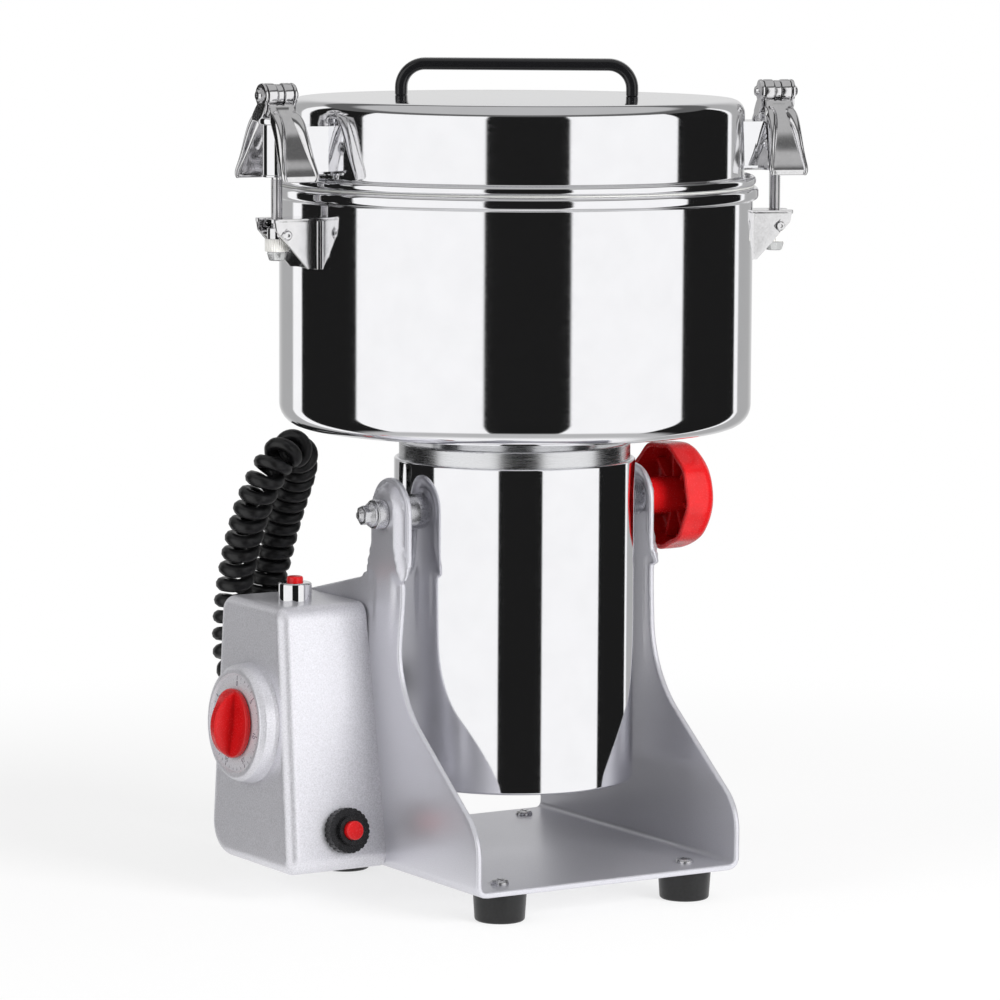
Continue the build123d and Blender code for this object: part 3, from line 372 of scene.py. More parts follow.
# mirror finish with a faint polishing haze and the waviness of drawn sheet
steel = finish(
    "polished steel", "polished_steel", (0.92, 0.92, 0.94), 0.06, 1.0, rough=(900, 4, 0.045, 0.075, along_z),
    tone=(60, 2, 0.97, 1.0), relief=(14, 1, 0.0004, 0.12))
# tumbled stainless steel, softer than the bowl's mirror
latch_metal = finish(
    "latch steel", "polished_steel", (0.84, 0.835, 0.845), 0.1, 1.0, rough=(1500, 4, 0.07, 0.15),
    tone=(400, 3, 0.94, 1.0), relief=(120, 1, 0.0003, 0.06))
# fine metallic lacquer: flakes, and a trace of orange peel
silver = finish(
    "silver lacquer", "grey_lacquer", (0.74, 0.738, 0.79), 0.34, 0.66, rough=(1300, 3, 0.3, 0.42),
    tone=(2600, 2, 0.9, 1.06), relief=(700, 2, 0.0001, 0.25),
    sockets=[("Coat Weight", 0.25), ("Coat Roughness", 0.25)])
# silver hammertone: shallow rounded cells with darker rims
hammer = finish(
    "hammertone lacquer", "hammer_lacquer", (0.80, 0.795, 0.84), 0.36, 0.6, rough=(1400, 3, 0.32, 0.5),
    tone=(1400, 3, 0.84, 1.1), cells=(950, 0.00012, 0.5),
    sockets=[("Coat Weight", 0.3), ("Coat Roughness", 0.22)])
# satin turned metal with rings round the motor's axis
finish(
    "turned aluminium", "cast_aluminium", (0.78, 0.785, 0.80), 0.24, 1.0, rough=(3000, 2, 0.2, 0.3, rings_z),
    tone=(3000, 2, 0.96, 1.0, rings_z), relief=(3000, 2, 0.00002, 0.12, rings_z))
plated = finish(
    "plated steel", "plain_steel", (0.72, 0.72, 0.74), 0.26, 1.0, rough=(1800, 3, 0.2, 0.38),
    tone=(500, 2, 0.9, 1.0), relief=(1200, 2, 0.00004, 0.5))
# blade steel with grinding marks along its width
finish(
    "ground steel", "blade_steel", (0.68, 0.68, 0.69), 0.3, 1.0, rough=(1500, 3, 0.2, 0.4, (1, 0.04, 1)),
    relief=(1500, 3, 0.00004, 0.6, (1, 0.04, 1)))
# stacked sheets: fine dark lines across the axis
finish(
    "laminations", "laminations", (0.26, 0.26, 0.27), 0.5, 0.8, tone=(1800, 1, 0.6, 1.1, sheets_z),
    relief=(1800, 1, 0.0001, 0.7, sheets_z))
finish(
    "enamelled copper", "copper", (0.62, 0.29, 0.12), 0.3, 0.9, tone=(1300, 1, 0.65, 1.1, turns_z),
    relief=(1300, 1, 0.0002, 0.8, turns_z))
finish(
    "drawn brass", "brass", (0.72, 0.55, 0.26), 0.25, 1.0, rough=(900, 3, 0.2, 0.36),
    tone=(300, 3, 0.85, 1.0))
finish("pressed carbon", "carbon", (0.035, 0.035, 0.038), 0.55, tone=(2200, 3, 0.6, 1.5))
finish(
    "chrome plate", "chrome_plate", (0.88, 0.88, 0.89), 0.05, 1.0, rough=(900, 3, 0.03, 0.08),
    tone=(300, 2, 0.96, 1.0))
# black moulding with a faint grain, and the handle's glossier one
finish(
    "black plastic", "black_plastic", (0.012, 0.012, 0.013), 0.25, rough=(1600, 3, 0.2, 0.32),
    tone=(300, 2, 0.8, 1.3), relief=(1500, 2, 0.00003, 0.5))
handle_black = finish(
    "handle plastic", "black_plastic", (0.009, 0.009, 0.010), 0.16, rough=(900, 3, 0.12, 0.2),
    relief=(500, 2, 0.00002, 0.3))
ink = finish("dial print", "black_plastic", (0.07, 0.05, 0.09), 0.5, tone=(1500, 2, 0.7, 1.4))
red = finish(
    "red plastic", "red_plastic", (0.60, 0.008, 0.010), 0.24, rough=(1200, 3, 0.18, 0.3),
    tone=(120, 2, 0.93, 1.05), relief=(900, 2, 0.00003, 0.5),
    sockets=[("Subsurface Weight", 0.06), ("Subsurface Radius", (0.004, 0.001, 0.001))])
# satin anodised dial, faintly lilac
finish(
    "dial face", "dial_face", (0.76, 0.76, 0.80), 0.3, 0.35, rough=(1800, 3, 0.25, 0.4),
    tone=(900, 2, 0.96, 1.03))
nylon = finish(
    "natural nylon", "white_nylon", (0.80, 0.79, 0.76), 0.35, rough=(1500, 3, 0.28, 0.45),
    tone=(500, 2, 0.94, 1.04),
    sockets=[("Subsurface Weight", 0.2), ("Subsurface Radius", (0.003, 0.003, 0.003))])
# clear moulding of the adjusters' tails
clear = finish(
    "clear plastic", "white_nylon", (0.95, 0.96, 0.96), 0.08, rough=(900, 2, 0.05, 0.14),
    sockets=[("IOR", 1.46), ("Transmission Weight", 0.85)])
rubber = finish(
    "black rubber", "black_rubber", (0.006, 0.006, 0.0065), 0.34, rough=(1500, 4, 0.28, 0.44),
    tone=(700, 3, 0.7, 1.5), relief=(1800, 3, 0.00005, 0.6))
finish(
    "silicone", "silicone", (0.82, 0.82, 0.80), 0.35, rough=(900, 2, 0.3, 0.45), tone=(400, 2, 0.95, 1.02),
    sockets=[("Transmission Weight", 0.35)])

for subpart in frame["record"]["subparts"]:
    node = frame["nodes"][subpart["node"]]
    node.data.materials.clear()
    node.data.materials.append(finish_of_slot[subpart["material_slot"]])
    smooth(node.data, 30)


# ---- bowl, lid and motor: turned shapes at full smoothness
wall = 1.5  # sheet that all three are drawn from
bowl_radius = bead_radius - 2.8
lid_radius = lip_radius - 6


def make_bowl():
    """Deep-drawn pan with its rolled bead, open at the spindle's seal."""
    floor, corner, bead_height = 2, 11, 6.5
    inner = bowl_radius - wall
    seal_low, seal_high = box("shaft_seal")
    seal = (seal_high.x - seal_low.x) / 2 - 3
    low, high = bowl_low.z, bowl_high.z
    bead = high - bead_height
    profile = rounded(
        [(seal, low), (bowl_radius, low), (bowl_radius, bead), (bead_radius, bead), (bead_radius, high),
         (inner, high), (inner, low + floor), (seal, low + floor)],
        {1: corner, 2: 0.6, 3: 2.2, 4: 2.2, 6: corner - wall})
    dress(lathe("bowl_pan", profile), on_axis, "mill", steel, ["bowl"])


def make_lid():
    """Crowned lid: band, rolled lip and the spigot inside the bowl."""
    crown, edge, steps = 1.6, 8, 16
    low, high = lid_low.z, lid_high.z
    lip_bottom, lip_top = low + 10, low + 14.5
    inner, spigot = lid_radius - wall, bowl_radius - wall - 0.7
    shoulder = high - crown
    dome = [(lid_radius * k / steps, high - crown * (k / steps) ** 2) for k in reversed(range(steps))]
    points = [(lid_radius, shoulder)] + dome + [(r, z - wall) for r, z in reversed(dome)]
    points += [(inner, shoulder - wall), (inner, low), (spigot, low), (spigot, lip_bottom),
               (lip_radius, lip_bottom), (lip_radius, lip_top), (lid_radius, lip_top)]
    last = len(points) - 1
    rounds = {0: edge, 2 * steps + 1: edge - wall, last - 2: 1.8, last - 1: 1.8, last: 0.8}
    dress(lathe("lid_pan", rounded(points, rounds)), on_axis, "lid", steel, ["lid_shell"])


def make_motor():
    low, high = box("motor_housing")
    radius = (high.x - low.x) / 2
    profile = [(radius - wall, low.z), (radius, low.z), (radius, high.z), (radius - wall, high.z)]
    tube = lathe("motor_tube", rounded(profile, {1: 1.2, 2: 1.2}, 4))
    dress(tube, on_axis, "mill", steel, ["motor_housing"])


make_bowl()
make_lid()
make_motor()

# ---- latches
shelf_top = bowl_high.z - 13.5
swing_x, swing_y, hinge_z = joint_spot("left_swing")
bolt_circle = hypot(swing_x - axis_x, swing_y)
eye_z = joint_spot("left_front_flip")[2]
bolt_radius, pin_radius = 3, 2
fork_bottom, fork_top = (corner.z for corner in box("lid_forks"))
sleeve_bottom = fork_bottom - 1.7


def latch_place(side):
    """From a latch's own axes (outward, along the rim, up; origin on the bolt's line) to the frame."""
    x, y, _ = joint_spot(f"{side}_swing")
    return on_axis @ Matrix.Rotation(atan2(y, x - axis_x), 4, "Z") @ shift(bolt_circle, 0, 0)


def pin_head(radius, height, socket):
    """Domed head standing on Z = 0 with a four-sided socket and washer."""
    deep = height - 0.9
    profile = [(0, 0), (0, deep), (socket, deep), (socket, height), (radius * 0.75, height),
               (radius, height * 0.45), (radius, 0)]
    washer = prism("washer", arc(radius * 1.35, 0, 270, 90), -0.4, 0.5, 0.2)
    return join("pin_head", [lathe("head", profile, 24, 30), washer])


def pin(half, head, shank_sides=0):
    """Two heads facing out along Z, half a length from the middle, and the shank where it shows."""
    parts = [placed(pin_head(*head), turn(angle, "X") @ shift(0, 0, half)) for angle in (0, 180)]
    if shank_sides:
        parts.append(rod("shank", pin_radius, -half, half, shank_sides))
    return join("pin", parts)


def threaded_rod(low, high, radius, pitch=1.0):
    """Rod whose thread shows as close V grooves."""
    profile = [(0, low), (radius * 0.85, low)]
    z = low + pitch / 2
    while z < high - pitch:
        profile += [(radius, z), (radius * 0.86, z + pitch / 2)]
        z += pitch
    profile += [(radius, high), (0, high)]
    return lathe("rod", profile, 28, 80)


def make_swing_bolt(side):
    """Threaded rod with a drum on the hinge below, and the eye with its headed pin above."""
    drum = rod("drum", 4.8, hinge_z - 3.3, hinge_z + 3.3, 40, {1: 0.6, 2: 0.6})
    thread = threaded_rod(hinge_z - 9, sleeve_bottom, bolt_radius)
    neck = rod("neck", bolt_radius, fork_top, eye_z, 28)
    eye = rod("eye", 5.5, -1.75, 1.75, 40, {1: 0.7, 2: 0.7})
    top = [placed(part, shift(0, 0, eye_z) @ outward_bar) for part in (eye, pin(9.3, (2.9, 1.7, 1.1), 24))]
    bolt = join(f"{side}_bolt", [drum, thread, neck] + top)
    dress(bolt, latch_place(side), f"{side}_latch", latch_metal, [f"{side}_swing_bolt"])


def make_sleeve(side):
    """Polished sleeve with a lipped flange below and the round saddle that the wings press on."""
    bore, radius, saddle = bolt_radius + 0.05, 7, 9
    flange, flange_top = radius + 0.5, sleeve_bottom + 1.2
    high = fork_top + 0.5
    profile = rounded(
        [(bore, sleeve_bottom), (flange, sleeve_bottom), (flange, flange_top), (radius, flange_top),
         (radius, high), (saddle, high), (saddle, high + 4), (bore, high + 4)],
        {1: 0.4, 2: 0.4, 5: 1, 6: 1.6}, 4)
    sleeve = lathe(f"{side}_sleeve", profile, 72)
    dress(sleeve, latch_place(side), f"{side}_latch", steel, [f"{side}_saddle"])


def make_nut(side):
    """White ribbed nut, with the clear faceted tail below it as a piece of its own."""
    top = hinge_z - 2.2
    low = top - 6.2
    ribs, radius, groove = 30, 5.9, 0.28
    reaches = (radius, radius, radius - groove, radius - groove) * ribs
    outline = [(reach * c, reach * s) for reach, (c, s) in zip(reaches, circle(4 * ribs))]
    nut = prism(f"{side}_nut", outline, low, top, 0.12)
    dress(nut, latch_place(side), f"{side}_latch", nylon, [f"{side}_adjuster"])
    levels = ((0, 5.1), (1.2, 5.1), (4.2, 4.2), (4.6, 3.6))  # (drop below the nut, reach)
    rings = [[(x, y, low - drop) for x, y in arc(reach, 0, 315, 45)] for drop, reach in levels]
    tail = skin(f"{side}_nut_tail", rings, 10)
    soften(tail, 0.25, 20)
    dress(tail, latch_place(side), f"{side}_latch", clear)


def make_wing(side, which):
    """Pressed lever: two lobes rolled round the pin, a dished plate between raised edges, and a lip."""
    flip = Vector(joints[f"{side}_{which}_flip"]["axis"])
    outward = latch_place(side).to_3x3() @ Vector((1, 0, 0))
    hang = 1 if flip.dot(outward) > 0 else -1
    # down the lever: how far out it hangs, how far below the pin, half width, ridge height, plate's share
    stations = [(5.6, -4.6, 6.9, 0.0, 0.5), (6.6, -7.6, 6.9, 0.2, 0.45), (8.4, -9.8, 7.6, 1.6, 0.34),
                (10.9, -11.8, 8.4, 2.6, 0.32), (13.4, -14.6, 8.6, 2.8, 0.36), (15.8, -18.6, 8.7, 2.6, 0.44),
                (17.9, -23.0, 8.8, 2.3, 0.54), (19.8, -27.6, 9.0, 1.9, 0.64), (21.6, -31.6, 9.2, 1.4, 0.73),
                (23.7, -35.2, 9.5, 1.0, 0.8), (25.0, -37.9, 9.8, 0.9, 0.84), (25.7, -39.5, 9.7, 0.8, 0.85),
                (25.9, -40.8, 9.2, 0.5, 0.85), (25.6, -41.7, 8.6, 0.2, 0.85)]
    # across one half, as shares from the plate's edge to the lever's: height over the plate in ridge heights
    flank = [(0.0, 0.0), (0.22, 0.55), (0.45, 1.0), (0.68, 0.95), (0.86, 0.35), (1.0, -0.75)]
    rows = []
    for (t, z, width, ridge, dish), along in zip(stations, directions([station[:2] for station in stations])):
        half_row = [(0.0, 0.0), (dish * 0.55, 0.0), (dish * 0.92, 0.0)]
        half_row += [(dish + (1 - dish) * share, rise) for share, rise in flank]
        row = [(-share, rise) for share, rise in reversed(half_row[1:])] + half_row
        rows.append([(share * width, hang * (t - along.y * ridge * rise), z + along.x * ridge * rise)
                     for share, rise in row])
    plate = skin("plate", rows, closed=False)
    thick = plate.modifiers.new("sheet", "SOLIDIFY")
    thick.thickness, thick.offset = 1.5 * MM, 0
    plate.modifiers.new("smooth", "SUBSURF").levels = 2
    bake(plate)
    smooth(plate.data)
    # the rear lever's lobes lie outside the front one's
    lobe = arc(6.0, -45, 225, 9)
    if which == "front":
        low, high = 1.95, 6.95
        lobe += [(-4.4, -6.6), (-1.6, -9.4), (3.6, -10.6), (8.6, -10.4), (7.4, -8.2), (5.6, -5.6)]
    else:
        low, high = 7.1, 9.0
        lobe += [(-3.6, -7.0), (-0.8, -10.8), (4.0, -13.2), (10.4, -12.8), (9.4, -9.6), (6.4, -6.2)]
    outline = [(hang * t, z) for t, z in lobe]
    spans = (low, high), (-high, -low)
    ears = [placed(prism("ear", outline, *span, 0.7), stood_up) for span in spans]
    lever = join(f"{side}_{which}_lever_plate", [plate] + ears)
    place = latch_place(side) @ shift(0, 0, eye_z)
    dress(lever, place, f"{side}_{which}_lever", latch_metal, [f"{side}_{which}_wing"])


def make_bracket(side):
    """Folded bracket: slotted shelf, two gussets that run down to the wall, and the hinge pin's heads."""
    half, reach, slot, sheet, drop, fold = 11.0, 24.0, 3.7, 2.0, 25.0, 0.35
    gap = bolt_circle - bowl_radius
    end = reach - gap
    rim = [(-gap - 1.5, -half), (end - 4, -half), (end - 1.2, -half + 1.2), (end, -half + 4), (end, -slot)]
    shelf = mirrored(rim, reversed(arc(slot, 90, 270, 15)))
    parts = [prism("shelf", shelf, shelf_top - sheet, shelf_top, fold)]
    # (from the bolt's line, below the shelf's top)
    gusset = [(-gap - 0.6, 0.4), (end - 1.5, 0.4), (end - 2.5, 6), (4 - gap, drop), (-gap - 0.6, drop)]
    hung = shift(0, 0, shelf_top) @ turn(-90, "X")
    for low in (-half, half - sheet):
        parts.append(placed(prism("gusset", gusset, low, low + sheet, fold), hung))
    wall_plate = mirrored([(-gap - 1, -half - 3.5), (-gap + 1.2, -half - 3.5)])
    parts.append(prism("wall", wall_plate, shelf_top - drop, shelf_top - 1, fold))
    bracket = join(f"{side}_bracket", parts)
    dress(bracket, latch_place(side), "mill", latch_metal, ["latch_brackets"] if side == "left" else [])
    hinge = pin(half, (2.5, 1.5, 1.0), 20)
    hinge.name = f"{side}_hinge_pin"
    place = latch_place(side) @ shift(0, 0, hinge_z) @ upright_bar
    dress(hinge, place, "mill", latch_metal, ["latch_pins"] if side == "left" else [])


def make_fork(side):
    """Block on the lid's band with the sleeve's mouth, a thin flange below and a rivet in each flank."""
    half, mouth = 13.0, 7.75
    back = lid_radius - bolt_circle - 1.2
    knuckle, end = back + 8, lid_radius + 15.5 - bolt_circle
    hollow = arc(mouth, 90, 270, 9)[::-1]
    outline = mirrored([(back, -half - 1.2), (knuckle, -half), (end, -half + 1.0), (end, -mouth)], hollow)
    last = len(outline) - 1
    block = rounded(outline, {1: 9.0, 2: 3.0, last - 2: 3.0, last - 1: 9.0}, 5)
    brim = mirrored([(back, -half - 2), (end, -half - 2), (end, -mouth)], hollow)
    rivets = placed(pin(half, (2.6, 1.3, 1.1)), shift(-7.5, 0, fork_bottom + 12) @ upright_bar)
    parts = [prism("block", block, fork_bottom + 0.8, fork_top, 0.8),
             prism("brim", brim, fork_bottom, fork_bottom + 1.2, 0.3), rivets]
    fork = join(f"{side}_fork", parts)
    dress(fork, latch_place(side), "lid", steel, ["lid_forks"] if side == "left" else [])


for latch_side in ("left", "right"):
    make_swing_bolt(latch_side)
    make_sleeve(latch_side)
    make_nut(latch_side)
    make_bracket(latch_side)
    make_fork(latch_side)
    for lever_side in ("front", "rear"):
        make_wing(latch_side, lever_side)


# ---- cradle: one sheet, pressed and folded
sheet = 3.0
cradle_half, half_depth = (cradle_high.x - cradle_low.x) / 2, cradle_high.y
ear_radius = cradle_high.z - pivot
ear_step, neck_step, neck_half = 4.0, 2.0, 15.3  # how far ears and necks are pressed in, half a neck
shoulder = pivot - 33.0  # where a neck widens into its ear
fold = 4.5  # bend radius of the sheet's middle
flat = cradle_half - sheet / 2 - fold
bend = pi / 2 * fold
floor_middle = cradle_low.z + sheet / 2
edge_round, edge_break = 0.9, 0.3  # the cut edge's rounding, and where its first ring lies
elbow_height, corner_height = 105.55, 47.0
pressed_from = 90  # nothing below this height is pressed
fine_from, fine_grid, floor_grid, cheek_grid = 88, 1.7, 6.0, 5.0


def ease(share):
    share = max(0.0, min(1.0, share))
    return share * share * (3 - 2 * share)


def along_cheek(z):
    """Distance along the unfolded sheet from its middle up to height z on a cheek."""
    return flat + bend + z - floor_middle - fold


def folded(s, y):
    """Middle of the folded sheet and the direction towards its inner side."""
    side, run = (1 if s > 0 else -1), abs(s)
    if run <= flat:
        return Vector((s, y, floor_middle)), Vector((0, 0, 1))
    if run <= flat + bend:
        angle = (run - flat) / fold
        spot = Vector((side * (flat + fold * sin(angle)), y, floor_middle + fold * (1 - cos(angle))))
        return spot, Vector((-side * sin(angle), 0, cos(angle)))
    return Vector((side * (flat + fold), y, floor_middle + fold + run - flat - bend)), Vector((-side, 0, 0))


def pressed(s, y):
    """The folded sheet with the ears' rims and the necks' edges pressed inwards."""
    spot, inward = folded(s, y)
    z = spot.z
    if z < pressed_from:
        return spot
    pad = 11.5 + 4.5 * ease((shoulder + 18 - z) / 18)  # radius of the ear's flat, wider towards the neck
    rim = ease((hypot(y, max(0, z - pivot)) - pad) / 3.5) * ease((z - shoulder + 3) / 5)
    start = 92 if s > 0 else 124  # the left neck lies behind the control box
    edge = ease((abs(y) - 6) / 6) * ease((z - start) / (shoulder - 5 - start))
    return spot + inward * max(ear_step * rim, neck_step * edge * (1 - ease((z - shoulder + 3) / 8)))


def cradle_outline():
    """The unfolded sheet's edge, in (distance along the sheet, y), at close spacing."""
    spacing = 2.4
    ear = [(pivot + x, y) for x, y in arc(ear_radius, -90, 90, 6)]
    back = [(shoulder + 0.5, ear_radius), (shoulder - 1, neck_half), (elbow_height, neck_half),
            (corner_height, half_depth)]
    front = [(z, -y) for z, y in reversed(back)]
    box_back = [(shoulder, ear_radius), (147.0, 86.0), (131.0, half_depth)]
    after_ear = 5 + len(ear)
    halves = []
    for rest, more in ((back, (1.2, 1.0, 52, 25)), (box_back, (12, 8, 6))):
        corners = [Vector((along_cheek(z), y)) for z, y in front + ear + rest]
        corners = [Vector((0, -half_depth))] + corners + [Vector((0, half_depth))]
        radii = {1: 25, 2: 52, 3: 1.0, 4: 1.2}
        radii.update((after_ear + k, radius) for k, radius in enumerate(more))
        halves.append(rounded(corners, radii, 14)[1:-1])
    loop = halves[0] + [Vector((-s, y)) for s, y in reversed(halves[1])]
    close = []
    for here, after in zip(loop, loop[1:] + loop[:1]):
        pieces = max(1, ceil((after - here).length / spacing))
        close += [here.lerp(after, k / pieces) for k in range(pieces)]
    return close


def shrunk(loop, distance):
    """The counter-clockwise loop moved inwards."""
    ways = directions(loop[-1:] + loop + loop[:1])[1:-1]
    return [here + Vector((-along.y, along.x)) * distance for here, along in zip(loop, ways)]


def inside(point, loop):
    """Whether the point lies in the loop, by the crossings to its right."""
    x, y = point
    found = False
    before = loop[-1]
    for here in loop:
        if (here[1] > y) != (before[1] > y):
            if x < (before[0] - here[0]) * (y - here[1]) / (before[1] - here[1]) + here[0]:
                found = not found
        before = here
    return found


def grid_points(loop, bores):
    """Points inside the outline and clear of the bores, closer together where the sheet is pressed."""
    rows = [flat * k / 12 for k in range(-12, 13)]
    rows += [side * (flat + bend * k / 6) for k in range(1, 7) for side in (-1, 1)]
    level, top = flat + bend, along_cheek(pivot + ear_radius)
    while level < top:
        level += fine_grid if level > along_cheek(fine_from) else cheek_grid
        rows += [level, -level]
    guard = shrunk(loop, edge_round + 0.7)
    points = []
    for s in rows:
        step = fine_grid if abs(s) > along_cheek(fine_from) else floor_grid
        y = 2 - half_depth
        while y < half_depth:
            spot = Vector((s, y))
            if inside(spot, guard) and all((spot - middle).length > r + 0.8 for middle, r in bores):
                points.append(spot)
            y += step
    return points


def make_cradle():
    """Outer and inner faces over one triangulated outline, joined round its edge and its holes."""
    loop = cradle_outline()
    if sum(a.x * b.y - b.x * a.y for a, b in zip(loop, loop[1:] + loop[:1])) < 0:
        loop.reverse()
    rims = [loop, shrunk(loop, edge_break), shrunk(loop, edge_round)]
    # middles on the flat sheet and radii: the two pivots' and the four foot screws'
    bores = [(Vector((-along_cheek(pivot), 0)), 5.1), (Vector((along_cheek(pivot), 0)), 3.6)]
    bores += [(Vector((x, y)), 2.2) for x in (-55, 55) for y in (-77, 77)]
    holes = [[middle + Vector(step) for step in arc(r, 0, 345, 15)] for middle, r in bores]
    points, edges = [], []
    for ring in rims + holes:
        start = len(points)
        points += ring
        edges += [(start + k, start + (k + 1) % len(ring)) for k in range(len(ring))]
    points += grid_points(loop, bores)
    flat_points, _, triangles, origins, *_ = delaunay_2d_cdt(points, edges, [], 0, 1e-5)
    kept = []
    for corners in triangles:
        spot = sum((flat_points[k] for k in corners), Vector((0, 0))) / 3
        if inside(spot, loop) and all((spot - middle).length >= r * 0.97 for middle, r in bores):
            kept.append(list(corners))
    halves = {}
    for inset, ring_start in ((0.0, 0), (edge_break, len(loop))):
        half = sheet / 2 - edge_round + (edge_round ** 2 - (edge_round - inset) ** 2) ** 0.5
        halves.update((ring_start + k, half) for k in range(len(loop)))
    inner, outer = [], []
    nudge = 0.05
    for k, (s, y) in enumerate(flat_points):
        half = min([halves.get(i, sheet / 2) for i in origins[k]], default=sheet / 2)
        along = pressed(s + nudge, y) - pressed(s - nudge, y)
        across = along.cross(pressed(s, y + nudge) - pressed(s, y - nudge)).normalized()
        inner.append(pressed(s, y) + across * half)
        outer.append(pressed(s, y) - across * half)
    count = len(flat_points)
    faces = kept + [[k + count for k in reversed(corners)] for corners in kept]
    used = dict.fromkeys(pair for a, b, c in kept for pair in ((a, b), (b, c), (c, a)))
    faces += [[b, a, a + count, b + count] for a, b in used if (b, a) not in used]
    dress(mesh_object("cradle_sheet", inner + outer, faces, 60), on_axis, "base", silver, ["cradle"])


make_cradle()


# ---- lid handle
def make_handle():
    """Moulded bow with a flat rounded section."""
    low, high = box("lid_handle")
    width, thick, corner, length, bearing = 13.0, 6.2, 12.0, 123.0, -34
    reach = (length - thick) / 2
    bar = high.z - low.z - thick / 2
    # (from the middle, height, how far the section is drawn in)
    half = [(reach, height, inset) for height, inset in ((0.0, 0.5), (0.2, 0.2), (0.5, 0), (2.0, 0))]
    for step in range(15):
        angle = pi / 2 * step / 14
        half.append((reach - corner + corner * cos(angle), bar - corner + corner * sin(angle), 0))
    half += [(reach - corner - 12, bar, 0), (10, bar, 0)]
    path = half + [(-u, z, inset) for u, z, inset in reversed(half)]
    sides, squareness = 48, 2 / 3.4

    def squared(value):
        return copysign(abs(value) ** squareness, value)

    rings = []
    for (u, z, inset), along in zip(path, directions([spot[:2] for spot in path])):
        wide, deep = width / 2 - inset, thick / 2 - inset
        ring = [(wide * squared(c), deep * squared(s)) for c, s in circle(sides, 0.5)]
        rings.append([(u + along.y * out, across, z - along.x * out) for across, out in ring])
    middle = (low + high) / 2
    place = shift(middle.x, middle.y, low.z) @ turn(bearing, "Z")
    dress(skin("handle_bow", rings), place, "lid", handle_black, ["lid_handle"])


make_handle()


# ---- control box: timer knob and dial
plate_low, plate_high = box("dial_plate")
dial_out = -Vector(joints["timer_turn"]["axis"]).normalized()
dial_across = Vector((0, -1, 0))
dial_place = Matrix((dial_across, dial_out.cross(dial_across), dial_out)).transposed().to_4x4()
dial_place.translation = (plate_low + plate_high) / 2 + dial_out * 0.3


def make_dial_ring():
    """Rounded rim of the boss round the dial."""
    outline = [(24.4, 0), (25.4, 1.2), (27.6, 1.0), (29.5, -1.6), (30.4, -6.5), (24.4, -6.5)]
    rim = lathe("dial_ring", rounded(outline, {1: 0.7, 2: 1.6, 3: 2.2}, 5), 128)
    dress(rim, dial_place, "base", hammer)


def make_timer_knob():
    """Round skirt with one thick fin across it, arched from side to side."""
    skirt = rounded([(0, 0.4), (17.0, 0.4), (17.6, 1.0), (17.6, 3.4), (14.6, 3.6), (4, 2.9), (0, 2.9)],
                    {3: 1.1, 4: 3}, 4)
    reach, height, half, drawn_in, bearing = 17.0, 10.8, 3.1, 0.24, -5
    arch = [(reach * cos(radians(a)), 2.4 + height * abs(sin(radians(a))) ** 1.25) for a in range(0, 181, 5)]
    fin = prism("fin", arch + [(-reach, 1.6), (reach, 1.6)], -half, half, 1.5)
    soften(fin, 0.4, 25)
    for vertex in fin.data.vertices:
        vertex.co.z *= 1 - drawn_in * max(0, vertex.co.y / MM - 3) / height
    knob = join("timer_grip", [lathe("skirt", skirt, 96, 40), placed(fin, stood_up)])
    dress(rod("timer_shaft", 2.8, -21.5, 3, 40), dial_place, "timer", plated)
    dress(knob, dial_place @ turn(bearing, "Z"), "timer", red, ["timer_knob"])


def dial_number(minute):
    data = bpy.data.curves.new("number", "FONT")
    data.body = str(minute)
    data.size, data.extrude = 3.6 * MM, 0.02 * MM
    data.align_x, data.align_y = "CENTER", "CENTER"
    holder = new_object("number", data)
    number = new_object("number", evaluated(holder))
    bpy.data.objects.remove(holder)
    return number


def make_dial_marks():
    """Printed minutes: a tick for each, and a number at every fifth."""
    ink_height, number_reach = 0.05, 20.1
    parts = []
    for minute in range(31):
        there = turn(90 - 10 * minute, "Z")
        numbered = minute % 5 == 0
        inner, outer, half = (21.9, 24.2, 0.22) if numbered else (22.8, 24.0, 0.13)
        bar = mirrored([(inner, -half), (outer, -half)])
        parts.append(placed(prism("tick", bar, 0.0, ink_height), there))
        if numbered:
            parts.append(placed(dial_number(minute), there @ shift(number_reach, 0, 0.03) @ turn(-90, "Z")))
    dress(join("dial_marks", parts), dial_place, "base", ink)


make_dial_ring()
make_timer_knob()
make_dial_marks()


